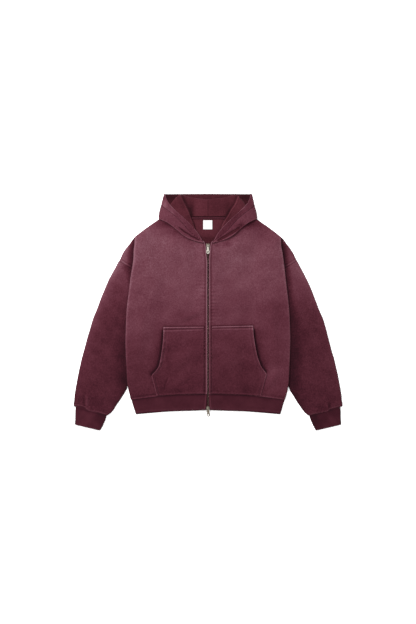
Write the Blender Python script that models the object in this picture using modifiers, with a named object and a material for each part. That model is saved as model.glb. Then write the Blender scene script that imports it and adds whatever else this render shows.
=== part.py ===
"""A zip up hoodie of washed fleece, laid flat on its back.

The tables are in millimetres and MM turns them into Blender's metres. +Y runs from hem to hood, +Z is
the garment's front, and left and right are the wearer's, so left is +X. Every cloth piece is an open
surface with a Solidify modifier: first its plan is worked out from a few edges, then it is laid on the
pile of the pieces below it. The tables give one half of the garment, and the other half mirrors it.
"""
import math

import bmesh
import bpy
import numpy as np

MM = 0.001

# Cloth and clearances
FLEECE = 2.0
RIB = 2.6
TAPE = 0.8
SEAM_GAP = 0.3
LAY_GAP = 0.5
SIDES = (("left", 1), ("right", -1))

# Plan of the body: rows of x, y
ZIP_EDGE = [  # the front's edge beside the zip, from hem to neck
    (3.9, -301.5),
    (3.9, -100.0),
    (3.9, 100.0),
    (3.9, 196.0),
    (9.0, 228.0),
    (12.0, 257.0),
]
SIDE_FOLD = [  # from the hem seam up to the shoulder's corner
    (283.5, -323.0),
    (297.0, -276.0),
    (301.5, -195.0),
    (305.0, -110.0),
    (302.0, -15.0),
    (298.0, 33.0),
    (289.0, 107.0),
    (282.0, 170.0),
    (276.0, 218.0),
    (270.8, 274.0),
]
HEM_SEAM = [  # from the zip to the side fold
    (3.9, -301.5),
    (80.0, -303.5),
    (165.0, -308.0),
    (283.5, -323.0),
]
FRONT_NECK = [  # from the zip to the shoulder, just under the hood's lower edge
    (12.0, 257.0),
    (33.0, 272.0),
    (77.0, 296.0),
    (122.0, 323.0),
    (181.0, 339.0),
]
SHOULDER = [(181.0, 339.0), (226.0, 308.5), (270.8, 274.0)]
BACK_NECK = [(0.0, 356.0), (60.0, 355.0), (120.0, 349.0), (181.0, 339.0)]
FOLD_RADIUS = 1.6
FRONT_COLUMNS = (8, 4)
FRONT_ROWS = 18
BACK_COLUMNS = (5, 4)
BACK_BRIDGE = 3

# Plan of the dropped shoulder and the sleeve, past the side fold: the outer edge, and the edge that is
# tucked behind the body and shows again above the cuff
SHOULDER_OUTER = [(268.0, 270.0), (296.0, 244.0), (314.5, 218.0), (327.6, 188.0)]
SHOULDER_INNER = [(240.0, 258.0), (217.0, 190.0), (205.0, 112.0)]
SLEEVE_OUTER = [
    (327.6, 188.0),
    (370.0, 114.7),
    (392.0, 55.5),
    (418.0, -3.7),
    (436.6, -63.0),
    (451.4, -122.0),
    (470.0, -181.0),
    (481.0, -240.5),
    (492.0, -300.0),
    (495.8, -346.0),
]
SLEEVE_INNER = [
    (205.0, 112.0),
    (222.0, 0.0),
    (255.0, -130.0),
    (296.7, -276.0),
    (335.0, -338.0),
    (372.5, -380.0),
]
CUFF_OUTER = [(489.5, -348.3), (490.6, -380.0), (492.4, -414.5)]
CUFF_INNER = [(375.5, -380.6), (385.5, -405.0), (398.8, -436.6)]
TUBE_HOLLOW = 0.8
SHOULDER_SWELL = 0.4
SLEEVE_SWELL = 2.0
CUFF_SWELL = 0.3
SLEEVE_RINGS = 15
SHOULDER_RINGS = 6
CUFF_RINGS = 4
RING_STEPS = 6
CUFF_STEPS = 5
FOLD_STEPS = 4

# Gathers where the sleeve is drawn into the cuff: side, place from the outer to the inner edge (0 to 1),
# half width as a share of the sleeve, depth, and how far up the sleeve they reach
GATHERS = [
    ("right", 0.47, 0.07, 1.6, 46.0),
    ("right", 0.80, 0.06, 1.0, 30.0),
    ("left", 0.38, 0.07, 1.6, 34.0),
    ("left", 0.84, 0.06, 1.2, 40.0),
]

# Hem band: the lower edge from the centre to the side, and the gap at the zip, as v (0 at the seam,
# 1 at the lower edge) and the half width
HEM_LOWER = [(0.0, -360.3), (80.0, -362.0), (144.0, -365.5), (267.5, -376.0)]
HEM_SLOT = [(0.0, 3.9), (0.34, 3.9), (0.68, 8.7), (1.0, 8.7)]
HEM_ROWS = 3
HEM_COLUMNS = 11
HEM_BULGE = 1.7

# Split kangaroo pocket
POCKET_TOP = [(15.0, -52.0), (90.0, -51.5), (166.5, -51.0)]
POCKET_MOUTH = [
    (166.5, -51.0),
    (169.5, -92.5),
    (179.5, -150.0),
    (192.4, -200.0),
    (211.0, -229.0),
]
POCKET_SIDE = [(211.0, -229.0), (200.0, -269.0), (189.5, -309.0)]
POCKET_LOWER = [(15.0, -301.5), (90.0, -303.0), (189.5, -309.0)]
POCKET_ROWS = (6, 3)
POCKET_COLUMNS = 8
MOUTH_LIFT = 2.4

# Hood: the band's free edge, the edge sewn to the front neck up to the outer fold, the fold, and the
# bottom of the hood's bag from the fold to the centre; the bag hangs behind the upper back
HOOD_MOUTH = [
    (154.5, 436.4),
    (140.8, 401.5),
    (111.7, 368.5),
    (75.0, 334.9),
    (48.0, 307.0),
    (23.0, 273.0),
    (15.7, 261.0),
]
HOOD_NECK = [
    (15.7, 261.0),
    (37.0, 266.4),
    (82.0, 288.6),
    (111.0, 310.0),
    (126.5, 317.0),
]
HOOD_FOLD = [(162.5, 436.8), (172.0, 392.0), (180.0, 362.0), (182.0, 342.5)]
HOOD_BAG = [(166.0, 270.0), (115.0, 205.0), (50.0, 181.0), (0.2, 177.0)]
HOOD_TOP = 436.4
HOOD_BULGE = 5.0
HOOD_ROWS = 10
HOOD_COLUMNS = (7, 8)
CENTRE_SEAM = 0.2

# Hood lining: lower edge, wavy fold at the top and hidden end below the back, each from the centre seam
# to the crease and from the crease to the side
LINING_LOWER = [(0.2, 352.5), (64.0, 352.5)]
LINING_LOWER_SIDE = [(47.0, 301.0), (76.0, 304.0), (118.0, 331.5), (155.0, 349.0)]
LINING_FOLD = [(0.2, 415.5), (30.0, 420.0), (63.0, 423.0), (78.0, 431.0), (107.0, 434.5)]
LINING_FOLD_SIDE = [(107.0, 434.5), (139.7, 397.0), (152.0, 375.0), (160.0, 358.0)]
LINING_END = [(0.2, 205.0), (70.0, 216.0), (95.0, 228.0)]
LINING_END_SIDE = [(95.0, 228.0), (128.0, 262.0), (146.0, 320.0)]
LINING_BULGE = 2.5
LINING_COLUMNS = (6, 4)
LINING_ROWS = (6, 5)
FLAP_LIFT = 1.6

# Back neck tape and label
NECK_TAPE_UPPER = [(-104.0, 349.0), (-60.0, 351.5), (0.0, 351.5), (60.0, 351.5), (104.0, 349.0)]
NECK_TAPE_LOWER = [(-104.0, 339.5), (-60.0, 342.3), (0.0, 342.3), (60.0, 342.3), (104.0, 339.5)]
LABEL_CENTRE = (-1.5, 323.0)
LABEL_SIZE = 37.0
LABEL_WALL = 0.8

# Two-way zip: heights are measured from the back panel's upper face
ZIP_TOP = 256.0
ZIP_BOTTOM = -357.0
ZIP_STATIONS = 26
CHAIN_ENDS = (-351.0, 239.0)
CHAIN_HALF = 3.0
CHAIN_WALL = 1.8
CHAIN_HEIGHT = 2.4
TAPE_EDGE = (3.4, 18.0)

# Sliders: plates above and below the chain, a post between them where the chain has parted, and a
# bridge that holds the pull tab
SLIDER_LENGTH = 14.0
SLIDER_WIDTH = 13.0
UPPER_PLATE = (3.6, 4.6)
LOWER_PLATE = (0.4, 1.2)
LOWER_PLATE_INSET = (0.6, 0.8)
POST_WIDTH = 4.6
POST_LENGTH = 3.0
POST_INSET = 1.2
JOIN_DEPTH = 0.3
PLATE_BEVEL = 0.35
BRIDGE_HALF_LENGTH = 4.6
BRIDGE_HEIGHT = 3.9
BRIDGE_WALL = 1.0
BRIDGE_WIDTH = 2.2
BRIDGE_STEPS = 8
SLIDER_TOP_Y = 245.0
SLIDER_BOTTOM_Y = -355.5

# Pull tabs: a tapered plate with a window round the bridge and a round hole at its free end. The upper
# one lies on the fronts, its tip slightly up, and the lower one droops past the hem onto its slider's nose
PULL_THICK = 1.4
PULL_AXIS = 6.3
PULL_LENGTH = 31.0
PULL_NEAR_HALF = 4.5
PULL_FAR_HALF = 6.5
PULL_HOLE = 3.0
PULL_BAR = 0.7
WINDOW_HALF = 2.2
WINDOW_END = 5.5
PULL_TOP_TILT = -5.0
PULL_BOTTOM_TILT = 5.0

# Looks of the solids: name, base colour, roughness, metallic
WASHED_FLEECE = ("washed_fleece", (0.150, 0.046, 0.062), 0.92, 0.0)
HOOD_FLEECE = ("hood_fleece", (0.120, 0.035, 0.049), 0.92, 0.0)
INNER_FLEECE = ("inner_fleece", (0.098, 0.019, 0.028), 0.96, 0.0)
RIB_KNIT = ("rib_knit", (0.065, 0.013, 0.022), 0.92, 0.0)
TAPE_CLOTH = ("tape_cloth", (0.090, 0.025, 0.035), 0.85, 0.0)
LABEL_CLOTH = ("label_cloth", (0.860, 0.850, 0.830), 0.70, 0.0)
ZIP_METAL = ("zip_metal", (0.075, 0.065, 0.058), 0.45, 0.9)
NICKEL = ("nickel", (0.560, 0.530, 0.480), 0.30, 1.0)


# ---------------------------------------------------------------- plans

def smooth(rows, steps):
    """steps + 1 evenly spaced points on a smooth curve through the rows."""
    knots = np.array(rows, dtype=float)
    ends = np.vstack([2 * knots[0] - knots[1], knots, 2 * knots[-1] - knots[-2]])
    t = np.linspace(0.0, 1.0, 16, endpoint=False)[:, None]
    spans = []
    for a, b, c, d in zip(ends, ends[1:], ends[2:], ends[3:]):
        bend = (2 * a - 5 * b + 4 * c - d) * t ** 2 + (3 * b - a - 3 * c + d) * t ** 3
        spans.append(0.5 * (2 * b + (c - a) * t + bend))
    fine = np.vstack(spans + [knots[-1:]])
    run = np.concatenate([[0.0], np.cumsum(np.linalg.norm(np.diff(fine, axis=0), axis=1))])
    at = np.linspace(0.0, run[-1], steps + 1)
    return np.stack([np.interp(at, run, column) for column in fine.T], axis=1)


def chain(*curves):
    """Curves that follow each other, with each shared end kept once."""
    return np.vstack([curves[0]] + [curve[1:] for curve in curves[1:]])


def patch(first_row, last_row, first_column, last_column):
    """Grid of plan points (rows, columns, 2) filled in between its four edges."""
    v = np.linspace(0.0, 1.0, len(first_column))[:, None, None]
    u = np.linspace(0.0, 1.0, len(first_row))[None, :, None]
    across = (1 - v) * first_row[None] + v * last_row[None]
    along = (1 - u) * first_column[:, None] + u * last_column[:, None]
    near = (1 - u) * first_row[0] + u * first_row[-1]
    far = (1 - u) * last_row[0] + u * last_row[-1]
    return across + along - (1 - v) * near - v * far


def normals(curve):
    """Unit normals of a plan curve, to the right of its direction."""
    ahead = np.gradient(curve, axis=0)
    ahead /= np.linalg.norm(ahead, axis=1)[:, None]
    return np.stack([ahead[:, 1], -ahead[:, 0]], axis=1)


def inset(curve, distance):
    """The curve moved to the left of its direction."""
    return curve - distance * normals(curve)


def mirrored(points, side):
    """The points on the garment's other half, where side is -1."""
    return points * np.array([side] + [1] * (points.shape[-1] - 1))


def add_roll(points, radius):
    """Two more columns before the last one, and how far the cloth has turned down at each column."""
    edge = points[:, -1:]
    towards = points[:, -2:-1] - edge
    towards /= np.linalg.norm(towards, axis=2)[:, :, None]
    half_way = 1 - math.sqrt(0.5)
    grid = np.concatenate(
        [points[:, :-1], edge + towards * radius, edge + towards * radius * half_way, edge], axis=1)
    drop = np.zeros(grid.shape[:2])
    drop[:, -2] = radius * half_way
    drop[:, -1] = radius
    return grid, drop


# ---------------------------------------------------------------- the pile

class Pile:
    """Heights of everything laid down so far, on a square grid over the floor."""

    CELL = 4.0
    HALF = (528.0, 464.0)

    def __init__(self):
        self.shape = tuple(int(2 * half / self.CELL) for half in self.HALF)
        self.top = np.zeros(self.shape)

    def cells(self, plan):
        """Row and column of the cell under each plan point."""
        index = np.floor((plan + np.array(self.HALF)) / self.CELL).astype(int)
        return tuple(np.clip(index[..., k], 0, self.shape[k] - 1) for k in (0, 1))

    def spread(self, field, reach, combine):
        """A field with each cell combined with its neighbours up to reach cells away."""
        for axis in (0, 1):
            shifted = [np.roll(field, step, axis) for step in range(-reach, reach + 1)]
            field = combine(shifted, axis=0)
        return field

    def put(self, points, wall):
        """Lay a grid of middle points (rows, columns, 3) on the pile."""
        steps = np.linspace(0.0, 1.0, 10)
        layer = np.zeros(self.shape)
        for s in steps:
            for t in steps:
                rows = (1 - s) * points[:-1] + s * points[1:]
                fine = (1 - t) * rows[:, :-1] + t * rows[:, 1:]
                np.maximum.at(layer, self.cells(fine[..., :2]), fine[..., 2] + wall / 2)
        self.top = np.maximum(self.top, self.spread(layer, 1, np.max))

    def rest(self, plan, wall, gap=LAY_GAP, bridge=1, blur=2):
        """Middle heights of a sheet that lies on the pile, bridging its steps over some cells."""
        bridged = self.spread(self.top, bridge, np.max)
        height = self.spread(bridged, blur, np.mean)[self.cells(plan)]
        near, far = slice(None, -1), slice(1, None)
        corners = ((near, near), (near, far), (far, near), (far, far))
        steps = np.linspace(0.0, 1.0, 6)
        for _ in range(5):
            for s in steps:
                for t in steps:
                    weights = ((1 - s) * (1 - t), (1 - s) * t, s * (1 - t), s * t)
                    total = sum(weight * weight for weight in weights)
                    at = sum(weight * plan[corner] for weight, corner in zip(weights, corners))
                    now = sum(weight * height[corner] for weight, corner in zip(weights, corners))
                    short = np.maximum(self.top[self.cells(at)] - now + self.sag(height, corners, s, t), 0.0)
                    for weight, corner in zip(weights, corners):
                        height[corner] += short * weight / total
        return height + gap + wall / 2

    def sag(self, height, corners, s, t):
        """How far a twisted quad may lie below its even blend, whichever way it is cut in triangles."""
        twist = height[corners[0]] + height[corners[3]] - height[corners[1]] - height[corners[2]]
        one_way = min(t * (1 - s), s * (1 - t))
        other_way = min(s * t, (1 - s) * (1 - t))
        return np.where(twist < 0.0, -twist * one_way, twist * other_way)


# ---------------------------------------------------------------- objects

def material(look):
    """The named Principled material, made once."""
    name, colour, roughness, metallic = look
    if name in bpy.data.materials:
        return bpy.data.materials[name]
    made = bpy.data.materials.new(name)
    made.use_nodes = True
    shader = made.node_tree.nodes["Principled BSDF"]
    shader.inputs["Base Color"].default_value = (*colour, 1.0)
    shader.inputs["Roughness"].default_value = roughness
    shader.inputs["Metallic"].default_value = metallic
    made.diffuse_color = (*colour, 1.0)
    return made


def collection(name):
    """A new collection in the scene."""
    made = bpy.data.collections.new(name)
    bpy.context.scene.collection.children.link(made)
    return made


def place(name, data, look, parts):
    """An object of the hoodie with its own material slot."""
    obj = bpy.data.objects.new(name, data)
    if not data.materials:
        data.materials.append(material(look))
    parts.objects.link(obj)
    return obj


def surface(name, points, closed=False):
    """A mesh of quads over a grid of points (rows, columns, 3); closed joins the last column to the first."""
    rows, columns = points.shape[:2]
    mesh = bpy.data.meshes.new(name)
    vertices = (points.reshape(-1, 3) * MM).tolist()
    last = columns if closed else columns - 1
    faces = []
    for row in range(rows - 1):
        for column in range(last):
            ahead = (column + 1) % columns
            faces.append((
                row * columns + column,
                row * columns + ahead,
                (row + 1) * columns + ahead,
                (row + 1) * columns + column,
            ))
    mesh.from_pydata(vertices, [], faces)
    mesh.shade_smooth()
    return mesh


def cloth(name, points, wall, look, parts, closed=False):
    """A sheet or tube of cloth: its middle surface with a Solidify modifier."""
    obj = place(name, surface(name, points, closed), look, parts)
    solid = obj.modifiers.new("wall", "SOLIDIFY")
    solid.thickness = wall * MM
    solid.offset = 0.0
    return obj


def block(name, low, high, cutters):
    """A box between two corners, kept as a helper for a union."""
    mesh = bpy.data.meshes.new(name)
    shape = bmesh.new()
    bmesh.ops.create_cube(shape, size=1.0)
    low, high = np.array(low), np.array(high)
    for vertex in shape.verts:
        vertex.co = ((low + high) / 2 + np.array(vertex.co) * (high - low)) * MM
    shape.to_mesh(mesh)
    shape.free()
    return helper(name, mesh, cutters)


def helper(name, mesh, cutters):
    """An object that only serves a Boolean."""
    obj = bpy.data.objects.new(name, mesh)
    obj.hide_render = True
    obj.display_type = "WIRE"
    cutters.objects.link(obj)
    return obj


# ---------------------------------------------------------------- tubes

def flat_ring(outer, inner, wall, swell, steps):
    """Ring of a flattened tube between two plan points: flat below, slightly domed above."""
    across = outer - inner
    width = np.linalg.norm(across)
    across = across / width
    middle = (outer + inner) / 2
    radius = (wall + TUBE_HOLLOW) / 2
    reach = width / 2 - wall / 2 - radius
    low = wall / 2
    s = np.linspace(-1.0, 1.0, steps + 1)
    turn = np.linspace(0.0, math.pi, FOLD_STEPS + 1)[1:-1]
    below = [(reach * k, low) for k in s]
    outer_fold = [(reach + radius * math.sin(a), low + radius - radius * math.cos(a)) for a in turn]
    above = [(reach * k, low + 2 * radius + swell * (1 - k * k)) for k in s[::-1]]
    inner_fold = [(-reach - radius * math.sin(a), low + radius + radius * math.cos(a)) for a in turn]
    ring = np.array(below + outer_fold + above + inner_fold)
    plan = middle[None] + ring[:, :1] * across[None]
    return np.concatenate([plan, ring[:, 1:]], axis=1)


def tube(outer_rows, inner_rows, rings, wall, swell, steps):
    """Rings (ring, point, 3) of a flattened tube between its two side edges."""
    outer = smooth(outer_rows, rings - 1)
    inner = smooth(inner_rows, rings - 1)
    swells = swell * np.minimum(1.0, 0.35 + np.sin(np.linspace(0.0, math.pi, rings)))
    return np.stack([flat_ring(a, b, wall, h, steps) for a, b, h in zip(outer, inner, swells)])


def along_tube(rings, first, last):
    """The rings with the first and last one moved along the tube by these distances."""
    moved = rings.copy()
    for end, near, distance in ((0, 1, first), (-1, -2, last)):
        ahead = rings[near].mean(axis=0) - rings[end].mean(axis=0)
        moved[end] += ahead / np.linalg.norm(ahead) * distance
    return moved


def gather(rings, side_name, steps):
    """Lower the sleeve's upper layer in soft troughs that run into the cuff seam."""
    upper = slice(steps + FOLD_STEPS, 2 * steps + FOLD_STEPS + 1)
    place_along = np.linspace(0.0, 1.0, steps + 1)
    seam = rings[-1].mean(axis=0)
    for name, centre, half_width, depth, reach in GATHERS:
        if name != side_name:
            continue
        for ring in rings:
            away = np.linalg.norm(ring.mean(axis=0) - seam) / reach
            trough = np.exp(-((place_along - centre) / half_width) ** 2)
            ring[upper, 2] -= depth * trough * max(0.0, 1.0 - away)
    return rings


def build_sleeves(pile, parts):
    """Dropped shoulders, sleeves and cuffs, flat on the floor."""
    for name, side in SIDES:
        shoulder = tube(SHOULDER_OUTER, SHOULDER_INNER, SHOULDER_RINGS, FLEECE, SHOULDER_SWELL, RING_STEPS)
        shoulder = along_tube(shoulder, 0.0, SEAM_GAP)
        sleeve = tube(SLEEVE_OUTER, SLEEVE_INNER, SLEEVE_RINGS, FLEECE, SLEEVE_SWELL, RING_STEPS)
        sleeve = along_tube(sleeve, SEAM_GAP, SEAM_GAP)
        sleeve = gather(sleeve, name, RING_STEPS)
        cuff = tube(CUFF_OUTER, CUFF_INNER, CUFF_RINGS, RIB, CUFF_SWELL, CUFF_STEPS)
        pieces = (
            ("shoulder_" + name, shoulder, FLEECE, WASHED_FLEECE),
            ("sleeve_" + name, sleeve, FLEECE, WASHED_FLEECE),
            ("cuff_" + name, cuff, RIB, RIB_KNIT),
        )
        for piece, rings, wall, look in pieces:
            rings = mirrored(rings, side)
            cloth(piece, rings, wall, look, parts, closed=True)
            pile.put(rings, wall)


# ---------------------------------------------------------------- body

def at_height(plan, height):
    """Plan points with their heights as a third coordinate."""
    return np.concatenate([plan, np.broadcast_to(height, plan.shape[:2])[..., None]], axis=2)


def build_back(pile, parts):
    """The back panel, a little narrower than the fronts, whose side and shoulder folds reach round it."""
    neck_columns, shoulder_columns = BACK_COLUMNS
    set_back = FLEECE + 2 * LAY_GAP
    hem = smooth([(0.0, HEM_SEAM[0][1])] + HEM_SEAM[1:], neck_columns + shoulder_columns)
    shoulder = inset(smooth(SHOULDER, shoulder_columns), -set_back)
    neck = smooth(BACK_NECK[:-1] + [tuple(shoulder[0])], neck_columns)
    top = chain(neck, shoulder)
    side = inset(smooth(SIDE_FOLD, FRONT_ROWS), set_back)
    side[-1] = top[-1]
    hem[-1] = side[0]
    half = patch(hem, top, smooth([hem[0], top[0]], FRONT_ROWS), side)
    whole = np.concatenate([mirrored(half, -1)[:, :0:-1], half], axis=1)
    points = at_height(whole, pile.rest(whole, FLEECE, bridge=BACK_BRIDGE, blur=BACK_BRIDGE))
    clear = pile.spread(pile.top, 2 * BACK_BRIDGE, np.max)[pile.cells(whole)] == 0.0
    points[..., 2][clear] = FLEECE / 2
    cloth("back_panel", points, FLEECE, WASHED_FLEECE, parts)
    pile.put(points, FLEECE)


def front_plan():
    """Plan of a front, how far its side and shoulder folds turn down, and nothing at the neck."""
    neck_columns, shoulder_columns = FRONT_COLUMNS
    hem = smooth(HEM_SEAM, neck_columns + shoulder_columns)
    top = chain(smooth(FRONT_NECK, neck_columns), smooth(SHOULDER, shoulder_columns))
    zip_side = smooth(ZIP_EDGE, FRONT_ROWS)
    side = inset(smooth(SIDE_FOLD, FRONT_ROWS), FLEECE / 2)
    plan, side_drop = add_roll(patch(hem, top, zip_side, side), FOLD_RADIUS)
    turned, shoulder_drop = add_roll(plan.transpose(1, 0, 2), FOLD_RADIUS)
    shoulder_drop[:neck_columns] = 0.0
    drop = np.maximum(
        np.concatenate([side_drop[:-1], np.repeat(side_drop[-1:], 3, axis=0)]), shoulder_drop.T)
    return turned.transpose(1, 0, 2), drop


def build_fronts(pile, parts):
    """The two fronts, whose side and shoulder edges fold down over the back's."""
    plan, drop = front_plan()
    laid = []
    for name, side in SIDES:
        half = mirrored(plan, side)
        points = at_height(half, pile.rest(half, FLEECE) - drop)
        cloth("front_" + name, points, FLEECE, WASHED_FLEECE, parts)
        laid.append(points)
    for points in laid:
        pile.put(points, FLEECE)


def build_pockets(pile, parts):
    """Split kangaroo pocket, laid on the fronts, with the curved mouth standing slightly off."""
    mouth_rows, side_rows = POCKET_ROWS
    outer = chain(
        smooth(POCKET_SIDE[::-1], side_rows),
        smooth(POCKET_MOUTH[::-1], mouth_rows),
    )
    lower = smooth(POCKET_LOWER, POCKET_COLUMNS)
    upper = smooth(POCKET_TOP, POCKET_COLUMNS)
    inner = smooth([POCKET_LOWER[0], POCKET_TOP[0]], mouth_rows + side_rows)
    plan = patch(lower, upper, inner, outer)
    open_rows = np.clip((np.arange(len(outer)) - side_rows) / mouth_rows, 0.0, 1.0)
    towards_mouth = np.linspace(0.0, 1.0, POCKET_COLUMNS + 1) ** 4
    lift = MOUTH_LIFT * np.sin(math.pi * open_rows)[:, None] * towards_mouth[None]
    for name, side in SIDES:
        half = mirrored(plan, side)
        points = at_height(half, pile.rest(half, FLEECE) + lift)
        cloth("pocket_" + name, points, FLEECE, WASHED_FLEECE, parts)
        pile.put(points, FLEECE)


def hem_plans():
    """Plans of the band's front and back half, from the zip or the centre to the side fold."""
    seam_shift = np.array([0.0, -2 * SEAM_GAP])
    seam = smooth([(0.0, HEM_SEAM[0][1])] + HEM_SEAM[1:], 60) + seam_shift
    lower = smooth(HEM_LOWER, 60)
    columns = np.linspace(0.0, 1.0, HEM_COLUMNS + 1)
    slot_v, slot_half = zip(*HEM_SLOT)
    front, back = [], []
    for v in np.linspace(0.0, 1.0, HEM_ROWS + 1):
        edge = (1 - v) * seam + v * lower
        side = edge[-1, 0] - HEM_BULGE - RIB / 2
        slot = np.interp(v, slot_v, slot_half)
        for rows, x in ((front, slot + (side - slot) * columns), (back, side * columns)):
            rows.append(np.stack([x, np.interp(x, *edge.T)], axis=1))
    return np.stack(front), np.stack(back)


def lay_hem_back(pile):
    """The band's back half lies on the floor."""
    _, back = hem_plans()
    for _, side in SIDES:
        pile.put(at_height(mirrored(back, side), RIB / 2), RIB)


def build_hem_band(parts, zip_tapes):
    """One strip of double rib: left front, round the back, right front, open at the zip."""
    front, back = hem_plans()
    below = at_height(back, RIB / 2)[:, ::-1]
    pile = Pile()
    pile.put(below, RIB)
    for tape in zip_tapes:
        pile.put(tape, TAPE)
    top = at_height(front, pile.rest(front, RIB))
    turn = folded(top[:, -1], below[:, 0], np.array([1.0, 0.0]), HEM_BULGE)
    half = np.concatenate([top, turn, below], axis=1)
    points = np.concatenate([half, mirrored(half, -1)[:, -2::-1]], axis=1)
    cloth("hem_band", points, RIB, RIB_KNIT, parts)


def folded(upper, lower, direction, bulge):
    """Columns of an elliptical fold between two edges, each (rows, 3), bulging along direction."""
    columns = []
    for angle in np.linspace(0.0, math.pi, FOLD_STEPS + 1)[1:-1]:
        middle = (upper + lower) / 2 + (upper - lower) / 2 * math.cos(angle)
        middle[:, :2] += direction * bulge * math.sin(angle)
        columns.append(middle)
    return np.stack(columns, axis=1)


# ---------------------------------------------------------------- hood

def hood_plans():
    """Plans of the hood's upper layer, of its crown underneath, and the direction of the fold."""
    upper_columns, crown_columns = HOOD_COLUMNS
    fold = smooth(HOOD_FOLD, HOOD_ROWS)
    outward = -normals(fold)
    fold_line = fold - outward * (HOOD_BULGE + FLEECE / 2)
    mouth = smooth(HOOD_MOUTH, HOOD_ROWS)
    first = smooth([mouth[0], fold_line[0]], upper_columns)
    last = smooth(HOOD_NECK + [tuple(fold_line[-1])], upper_columns)
    upper = patch(first, last, mouth, fold_line)
    centre = smooth([(CENTRE_SEAM, HOOD_TOP), HOOD_BAG[-1]], HOOD_ROWS)
    crown_first = smooth([fold_line[0], centre[0]], crown_columns)
    crown_last = smooth([tuple(fold_line[-1])] + HOOD_BAG, crown_columns)
    crown = patch(crown_first, crown_last, fold_line, centre)
    return upper, crown, outward


def lay_crown(pile):
    """The hood's crown is the lowest layer, flat on the floor."""
    _, crown, _ = hood_plans()
    for _, side in SIDES:
        pile.put(at_height(mirrored(crown, side), FLEECE / 2), FLEECE)


def build_hood(pile, parts):
    """Each hood half runs from the band over the outer fold to the centre seam of the crown."""
    upper, crown, outward = hood_plans()
    for name, side in SIDES:
        plan = mirrored(upper, side)
        top = at_height(plan, pile.rest(plan, FLEECE))
        below = at_height(mirrored(crown, side), FLEECE / 2)
        turn = folded(top[:, -1], below[:, 0], mirrored(outward, side), HOOD_BULGE)
        points = np.concatenate([top, turn, below], axis=1)
        cloth("hood_" + name, points, FLEECE, HOOD_FLEECE, parts)


def lining_plans():
    """Plans of the lining's visible layer and of the layer it folds back to, and the fold's direction."""
    centre_columns, side_columns = LINING_COLUMNS
    rows, end_rows = LINING_ROWS
    lower = np.vstack([smooth(LINING_LOWER, centre_columns - 1), smooth(LINING_LOWER_SIDE, side_columns)])
    fold = chain(smooth(LINING_FOLD, centre_columns), smooth(LINING_FOLD_SIDE, side_columns))
    end = chain(smooth(LINING_END, centre_columns), smooth(LINING_END_SIDE, side_columns))
    outward = -normals(fold)
    fold_line = fold - outward * (LINING_BULGE + FLEECE / 2)
    fold_line[0, 0] = CENTRE_SEAM
    outward[0] = (0.0, 1.0)
    shown = patch(
        lower, fold_line, smooth([lower[0], fold_line[0]], rows), smooth([lower[-1], fold_line[-1]], rows))
    hidden = patch(
        fold_line, end, smooth([fold_line[0], end[0]], end_rows), smooth([fold_line[-1], end[-1]], end_rows))
    return shown, hidden, outward


def lay_lining_end(pile):
    """The lining's hidden layer, between the crown and the back panel, for both halves."""
    _, hidden, _ = lining_plans()
    layers = {}
    for name, side in SIDES:
        plan = mirrored(hidden, side)
        layers[name] = at_height(plan, pile.rest(plan, FLEECE))
    for points in layers.values():
        pile.put(points, FLEECE)
    return layers


def build_lining(pile, parts, hidden_layers):
    """The inside of the hood: a centre part and, past the crease, a side flap that stands slightly higher."""
    shown, _, outward = lining_plans()
    centre_columns, side_columns = LINING_COLUMNS
    lift = np.zeros(shown.shape[:2])
    lift[:, centre_columns:] = FLAP_LIFT
    lift[:, -1] = 0.0
    laid = []
    for name, side in SIDES:
        plan = mirrored(shown, side)
        top = at_height(plan, pile.rest(plan, FLEECE) + lift)
        below = hidden_layers[name]
        turn = folded(top[-1], below[0], mirrored(outward, side), LINING_BULGE).transpose(1, 0, 2)
        cloth("hood_lining_" + name, np.concatenate([top, turn, below]), FLEECE, INNER_FLEECE, parts)
        laid.append(top)
    for points in laid:
        pile.put(points, FLEECE)


def build_neck_trim(pile, parts):
    """The tape along the back neck seam, and the bare label below it."""
    upper = smooth(NECK_TAPE_UPPER, 10)
    lower = smooth(NECK_TAPE_LOWER, 10)
    plan = np.stack([lower, upper])
    tape = at_height(plan, pile.rest(plan, TAPE))
    cloth("neck_tape", tape, TAPE, TAPE_CLOTH, parts)
    half = LABEL_SIZE / 2
    x = LABEL_CENTRE[0] + np.linspace(-half, half, 3)
    y = LABEL_CENTRE[1] + np.linspace(-half, half, 3)
    plan = np.stack(np.meshgrid(x, y), axis=2)
    label = at_height(plan, pile.rest(plan, LABEL_WALL))
    cloth("label", label, LABEL_WALL, LABEL_CLOTH, parts)
    pile.put(tape, TAPE)
    pile.put(label, LABEL_WALL)


# ---------------------------------------------------------------- zip

def zip_line(pile):
    """Stations along the zip: y and the height of what lies under it."""
    y = np.linspace(ZIP_BOTTOM, ZIP_TOP, ZIP_STATIONS)
    half = TAPE_EDGE[1]
    plan = np.stack([np.stack([np.full_like(y, x), y], axis=1) for x in (-half, 0.0, half)], axis=1)
    height = pile.rest(plan, 0.0, 0.0).max(axis=1)
    return y, height


def zip_strip(stations, edges, middle_height):
    """Grid of a straight strip along the zip, between two x values."""
    y, base = stations
    return np.stack(
        [np.stack([np.full_like(y, x), y, base + middle_height], axis=1) for x in edges], axis=1)


def build_zip(pile, parts, stations):
    """Two tapes and the closed chain between them; gives the tapes' middle surfaces."""
    strips = []
    for name, side in SIDES:
        edges = [side * x for x in TAPE_EDGE]
        points = zip_strip(stations, edges, CHAIN_HEIGHT)
        cloth("zip_tape_" + name, points, TAPE, TAPE_CLOTH, parts)
        strips.append(points)
    y = np.linspace(*CHAIN_ENDS, ZIP_STATIONS)
    base = np.interp(y, *stations)
    points = zip_strip((y, base), (-CHAIN_HALF, CHAIN_HALF), CHAIN_HEIGHT)
    cloth("zip_chain", points, CHAIN_WALL, ZIP_METAL, parts)
    for strip in strips:
        pile.put(strip, TAPE)
    return strips


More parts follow.
